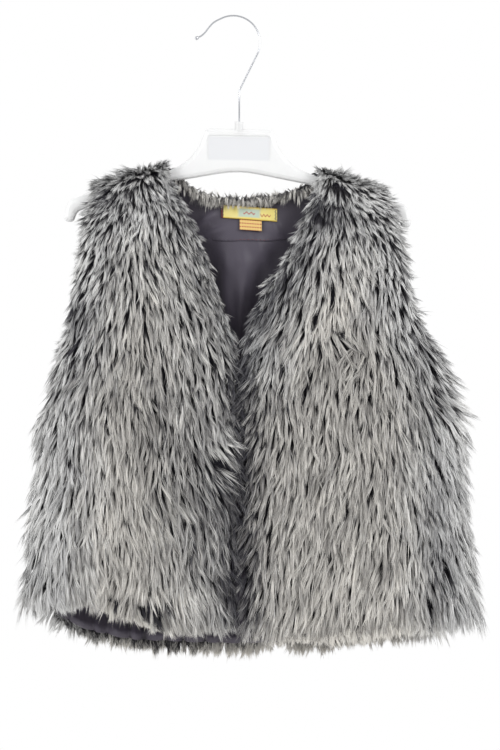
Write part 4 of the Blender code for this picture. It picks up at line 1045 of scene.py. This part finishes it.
waveMid = addNode(tree, "Math", {"operation": "ADD", 0: waveLine, 1: ribbon["waveLow"]})
waveAt = addNode(tree, "Math", {"operation": "SUBTRACT", 0: across, 1: ribbon["waveX"]})
dash = addNode(tree, "Math", {"operation": "PINGPONG", 0: at.outputs[0], 1: ribbon["dash"]})
tabRow = addNode(tree, "Math", {"operation": "PINGPONG", 0: height, 1: ribbon["tabRow"]})
marks = []
for offMiddle, offStart, halfLong in ((sawMid, aside, ribbon["sawLong"]), (waveMid, waveAt, ribbon["waveLong"]),
                                      (tabRow, dash, ribbon["dashLong"])):
    onBoth = []
    for off, half, soft in ((offMiddle, ribbon["line"], 0.15 * mm), (offStart, halfLong, 0.1 * mm)):
        off = addNode(tree, "Math", {"operation": "ABSOLUTE", 0: off})
        onBoth.append(addNode(tree, "MapRange", {"Value": off, "From Min": half + soft, "From Max": half - soft}))
    marks.append(addNode(tree, "Math", {"operation": "MULTIPLY", 0: onBoth[0], 1: onBoth[1]}))
tabMark = addNode(tree, "Math", {"operation": "MULTIPLY", 0: marks[2], 1: onTab})
for amount, colour in ((border, "edge"), (inOblong, "green"), (marks[0], "red"), (marks[1], "red"),
                       (brownEnd, "brown"), (onTab, "tab"), (tabMark, "red")):
    woven = addNode(tree, "Mix", {"data_type": "RGBA", 0: amount, 6: woven, 7: linear(ribbon[colour])})
ribs = addNode(tree, "TexWave", {"bands_direction": "X", "Scale": bandScale / ribbon["rib"], "Distortion": 0.4,
                                 "Vector": place})  # drawn coarser than the real rib, to show
relief = addNode(tree, "Bump", {"Strength": 0.25, "Distance": 0.2 * mm, "Height": ribs.outputs["Fac"]})
setNode(tree, shader, {"Base Color": woven, "Normal": relief})


def labelTop(x):
    return trim["labelTop"] - (x - labelX) * trim["fall"]


def labelLow(x):
    return labelTop(x) - labelHigh


def tabTop(x):
    return labelLow(x) - trim["tabGap"]


def labelBow(x, t):  # sewn at its ends only, so the middle stands off a little
    across = np.clip(1 - ((x - labelX) / (labelWide / 2)) ** 2, 0, 1)
    return trim["bow"] * across * (0.7 + 0.6 * np.sin(x / (9 * mm)) * (1 - t))


def tabLift(x, t):  # a folded loop: its lower end curls away from the facing
    return trim["bow"] * 0.75 + trim["curl"] * (1 - t) ** 2


labelPiece = patchPiece("neck_label_ribbon", labelX + np.linspace(-0.5, 0.5, 47) * labelWide, labelLow, labelTop, 14,
                        trim["labelLayer"], labelBow, labelRibbon, "neck_label")
tabPiece = patchPiece("size_tab_ribbon", tabX + np.linspace(-0.5, 0.5, 25) * tabWide, lambda x: tabTop(x) - tabHigh,
                      tabTop, 12, trim["labelLayer"], tabLift, labelRibbon, "size_tab")

# spun polyester thread, dyed with the satin but rusty red where it lies loose: a fine broken line along the seam
thread = {"colour": "#514b56", "rusty": "#7a4a4d", "rustyX": 15 * mm, "rustyIn": 9 * mm, "rustyOut": 16 * mm,
          "seed": 7, "up": 1.3 * mm, "fromEnd": 3 * mm, "zigzags": 6, "zigzagOut": 0.6 * mm, "zigzagIn": 2.0 * mm}
seamThread, tree, shader = startMaterial("spunPolyesterThread", {"Roughness": 0.7})
place = addNode(tree, "TexCoord", {}).outputs["Object"]
at = addNode(tree, "SeparateXYZ", {0: place})
off = addNode(tree, "Math", {"operation": "SUBTRACT", 0: at.outputs[0], 1: thread["rustyX"]})
away = addNode(tree, "Math", {"operation": "ABSOLUTE", 0: off})
rusty = addNode(tree, "MapRange", {"Value": away, "From Min": thread["rustyOut"], "From Max": thread["rustyIn"]})
tint = addNode(tree, "Mix", {"data_type": "RGBA", 0: rusty, 6: linear(thread["colour"]), 7: linear(thread["rusty"])})
setNode(tree, shader, {"Base Color": tint})
stitches = []
stitchX = facingLeft + thread["fromEnd"]
rng = np.random.default_rng(thread["seed"])
while stitchX < facingRight - thread["fromEnd"]:
    x = stitchX + np.linspace(0, 1, 6) * trim["stitch"]
    z = facingLow(x) + thread["up"] + rng.normal(0, 0.12) * mm
    sink = np.array([0.35, 0, -0.05, -0.05, 0, 0.35]) * mm
    line = np.stack([x, onLining(x, z, trim["facingLayer"] + trim["thick"]) + sink, z], -1)
    stitches.append((line, trim["thread"] * np.array([0.5, 0.95, 1, 1, 0.95, 0.5])))
    stitchX += trim["stitch"] + trim["stitchGap"]
for end in (-1, 1):  # zigzag at the two ends of the label
    for k in range(thread["zigzags"]):
        inset = np.linspace(thread["zigzagOut"], thread["zigzagIn"], 5)[::-1 if k % 2 else 1]
        x = labelX + end * (labelWide / 2 - inset)
        z = labelTop(x) - mix(0.10, 0.90, (k + np.linspace(0, 1, 5)) / thread["zigzags"]) * labelHigh
        y = onLining(x, z, trim["labelLayer"] + trim["thick"]) - labelBow(x, 0.5) - 0.1 * mm
        stitches.append((np.stack([x, y, z], -1), trim["thread"] * np.array([0.6, 1, 1, 1, 0.6])))
stitchPiece = newPiece("neck_stitches", tubeMesh("neck_stitches", stitches, 6), seamThread)
print("facing, label, tab and", len(stitches), "stitches made")

# drawn steel wire, bright plated: grey with a narrow highlight; lengths in millimetres, angles in degrees
hook = {"radius": 23.0, "x": -1.5, "z": -21.8, "from": 116, "to": -28, "wire": 0.75, "ball": 0.75,
        "tip": (-32.6, -18.0), "run": [(-28.9, -16.2), (-25.6, -13.2), (-22.3, -8.9), (-17.9, -4.4)],
        "knee": (3.7, -63.0, 12.0), "foot": (3.7, -100.0), "grey": "#cfd1d6", "bright": "#dddfe3", "grain": 1.5 * mm}
hookSteel, tree, shader = startMaterial("platedSteelWire", {"Metallic": 1.0, "Roughness": 0.3})
place = addNode(tree, "TexCoord", {}).outputs["Object"]
drawn = addNode(tree, "TexNoise", {"Scale": 1 / hook["grain"], "Detail": 3.0, "Vector": place})
tint = addNode(tree, "Mix", {"data_type": "RGBA", 0: drawn, 6: linear(hook["grey"]), 7: linear(hook["bright"])})
setNode(tree, shader, {"Base Color": tint})


def roundCorner(before, corner, after, steps):  # arc that rounds a corner of a flat path
    here, size = np.array(corner[:2]), corner[2]
    toBefore, toAfter = unit(np.array(before) - here), unit(np.array(after) - here)
    half = math.acos(float(np.dot(toBefore, toAfter))) / 2
    middle = here + unit(toBefore + toAfter) * size / math.sin(half)
    first = here + toBefore * size / math.tan(half) - middle
    last = here + toAfter * size / math.tan(half) - middle
    sweep = math.atan2(first[0] * last[1] - first[1] * last[0], float(np.dot(first, last)))
    turns = sweep * np.linspace(0, 1, steps + 1)
    return [middle + np.array([math.cos(a) * first[0] - math.sin(a) * first[1],
                               math.sin(a) * first[0] + math.cos(a) * first[1]]) for a in turns]


def smoothRun(points, steps):  # soft curve through a row of points
    ends = np.concatenate([[2 * points[0] - points[1]], points, [2 * points[-1] - points[-2]]])
    t = np.arange(steps)[:, None] / steps
    run = []
    for a, b, c, d in zip(ends, ends[1:], ends[2:], ends[3:]):
        run.append(b + (c - a) * t / 2 + (a - 2.5 * b + 2 * c - d / 2) * t ** 2
                   + (1.5 * (b - c) + (d - a) / 2) * t ** 3)
    return np.concatenate(run + [points[-1:]])


turns = np.radians(np.linspace(hook["from"], hook["to"], 17))
arc = [np.array([hook["x"] + hook["radius"] * math.cos(a), hook["z"] + hook["radius"] * math.sin(a)]) for a in turns]
path = smoothRun(np.array(hook["run"] + arc), 4)
path = np.concatenate([path, roundCorner(arc[-1], hook["knee"], hook["foot"], 10), [hook["foot"]]])
toTip = unit(np.array(hook["tip"]) - path[0])
lathe = np.array([(2.4, 0.25), (2.25, 1.0), (1.8, 1.7), (1.1, 2.15), (0.2, 2.38), (-0.8, 2.25), (-1.6, 1.75),
                  (-2.1, 1.2), (-3.0, 1.05)])  # ball end: way along the wire, radius
lathe = np.maximum(lathe * hook["ball"], [-9, 0.25])
path = np.concatenate([np.array(hook["tip"]) + toTip * lathe[:, :1], path])
radii = np.concatenate([lathe[:, 1], np.full(len(path) - len(lathe), hook["wire"])])
line = np.stack([path[:, 0], 0 * path[:, 0], path[:, 1]], -1) * mm
wireMesh = tubeMesh("hanger_hook_wire", [(line, radii * mm)], 16)
newPiece("hanger_hook_wire", wireMesh, hookSteel, ["hanger_hook"])
print("hook bent")

# moulded polystyrene: milky white, faintly mottled, soft gloss; the thin floor of the window is a shade cooler
plastic = {"milky": "#eeeeef", "pale": "#f2f3f2", "window": "#e6e7e9", "windowHalf": (26 * mm, 10 * mm),
           "windowZ": -17 * mm, "windowSoft": 1 * mm, "mottle": 12 * mm}
hangerPlastic, tree, shader = startMaterial("mouldedPolystyrene", {
    "Roughness": 0.38, "IOR": 1.59, "Subsurface Weight": 0.7, "Subsurface Radius": (1, 1, 1),
    "Subsurface Scale": 8 * mm})
place = addNode(tree, "TexCoord", {}).outputs["Object"]
mottle = addNode(tree, "TexNoise", {"Scale": 1 / plastic["mottle"], "Detail": 2.0, "Vector": place})
tint = addNode(tree, "Mix", {"data_type": "RGBA", 0: mottle, 6: linear(plastic["milky"]), 7: linear(plastic["pale"])})
onPlate = addNode(tree, "Mapping", {"vector_type": "TEXTURE", "Location": (hanger["x"], 0, hanger["z"]),
                                    "Rotation": (0, hanger["tilt"], 0), 0: place})
at = addNode(tree, "SeparateXYZ", {0: onPlate})
shares = []
for axis, middle, half in ((0, 0, plastic["windowHalf"][0]), (2, plastic["windowZ"], plastic["windowHalf"][1])):
    off = addNode(tree, "Math", {"operation": "SUBTRACT", 0: at.outputs[axis], 1: middle})
    away = addNode(tree, "Math", {"operation": "ABSOLUTE", 0: off})
    shares.append(addNode(tree, "MapRange", {"Value": away, "From Min": half + plastic["windowSoft"],
                                             "From Max": half - plastic["windowSoft"]}))
onWindow = addNode(tree, "Math", {"operation": "MULTIPLY", 0: shares[0], 1: shares[1]})
tint = addNode(tree, "Mix", {"data_type": "RGBA", 0: onWindow, 6: tint, 7: linear(plastic["window"])})
setNode(tree, shader, {"Base Color": tint})
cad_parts["hanger_body"].material_slots[0].material = hangerPlastic

# plain pale floor under the hanging jacket, white studio behind it, a soft lamp at each side before it
stage = {"floorX": 0.01, "floorZ": -0.752, "floorRadius": 0.6, "floor": "#e9e8e6", "white": 1.0, "dim": 0.57,
         "blend": 0.3, "lampSize": 0.7, "aim": (0, 0, -0.33),
         "lamps": [((1.25, -1.35, 0.35), 13.5), ((-1.3, -1.4, 0.25), 12.5)]}  # place, power
bm = bmesh.new()
bmesh.ops.create_circle(bm, cap_ends=True, segments=96, radius=stage["floorRadius"],
                        matrix=Matrix.Translation((stage["floorX"], 0, stage["floorZ"])))
floorMesh = bpy.data.meshes.new("floor")
bm.to_mesh(floorMesh)
bm.free()
floorPaint, tree, shader = startMaterial("mattFloorPaint", {"Base Color": linear(stage["floor"]), "Roughness": 0.8})
floorMesh.materials.append(floorPaint)
floor = bpy.data.objects.new("floor", floorMesh)
scene.collection.objects.link(floor)

world = scene.world or bpy.data.worlds.new("studio")
scene.world = world
world.use_nodes = True
tree = world.node_tree
place = addNode(tree, "TexCoord", {}).outputs["Generated"]
at = addNode(tree, "SeparateXYZ", {0: place})
glow = addNode(tree, "MapRange", {"Value": at.outputs[1], "From Min": -stage["blend"], "From Max": stage["blend"],
                                  "To Min": stage["dim"], "To Max": stage["white"]})
setNode(tree, tree.nodes["Background"], {"Color": linear("#ffffff"), "Strength": glow})
for k, (lampAt, power) in enumerate(stage["lamps"]):
    lampData = bpy.data.lights.new("lamp" + str(k), "AREA")
    lampData.energy, lampData.size = power, stage["lampSize"]
    lamp = bpy.data.objects.new("lamp" + str(k), lampData)
    lamp.location = lampAt
    lamp.rotation_euler = (Vector(stage["aim"]) - lamp.location).to_track_quat("-Z", "Y").to_euler()
    scene.collection.objects.link(lamp)
print("studio lit")
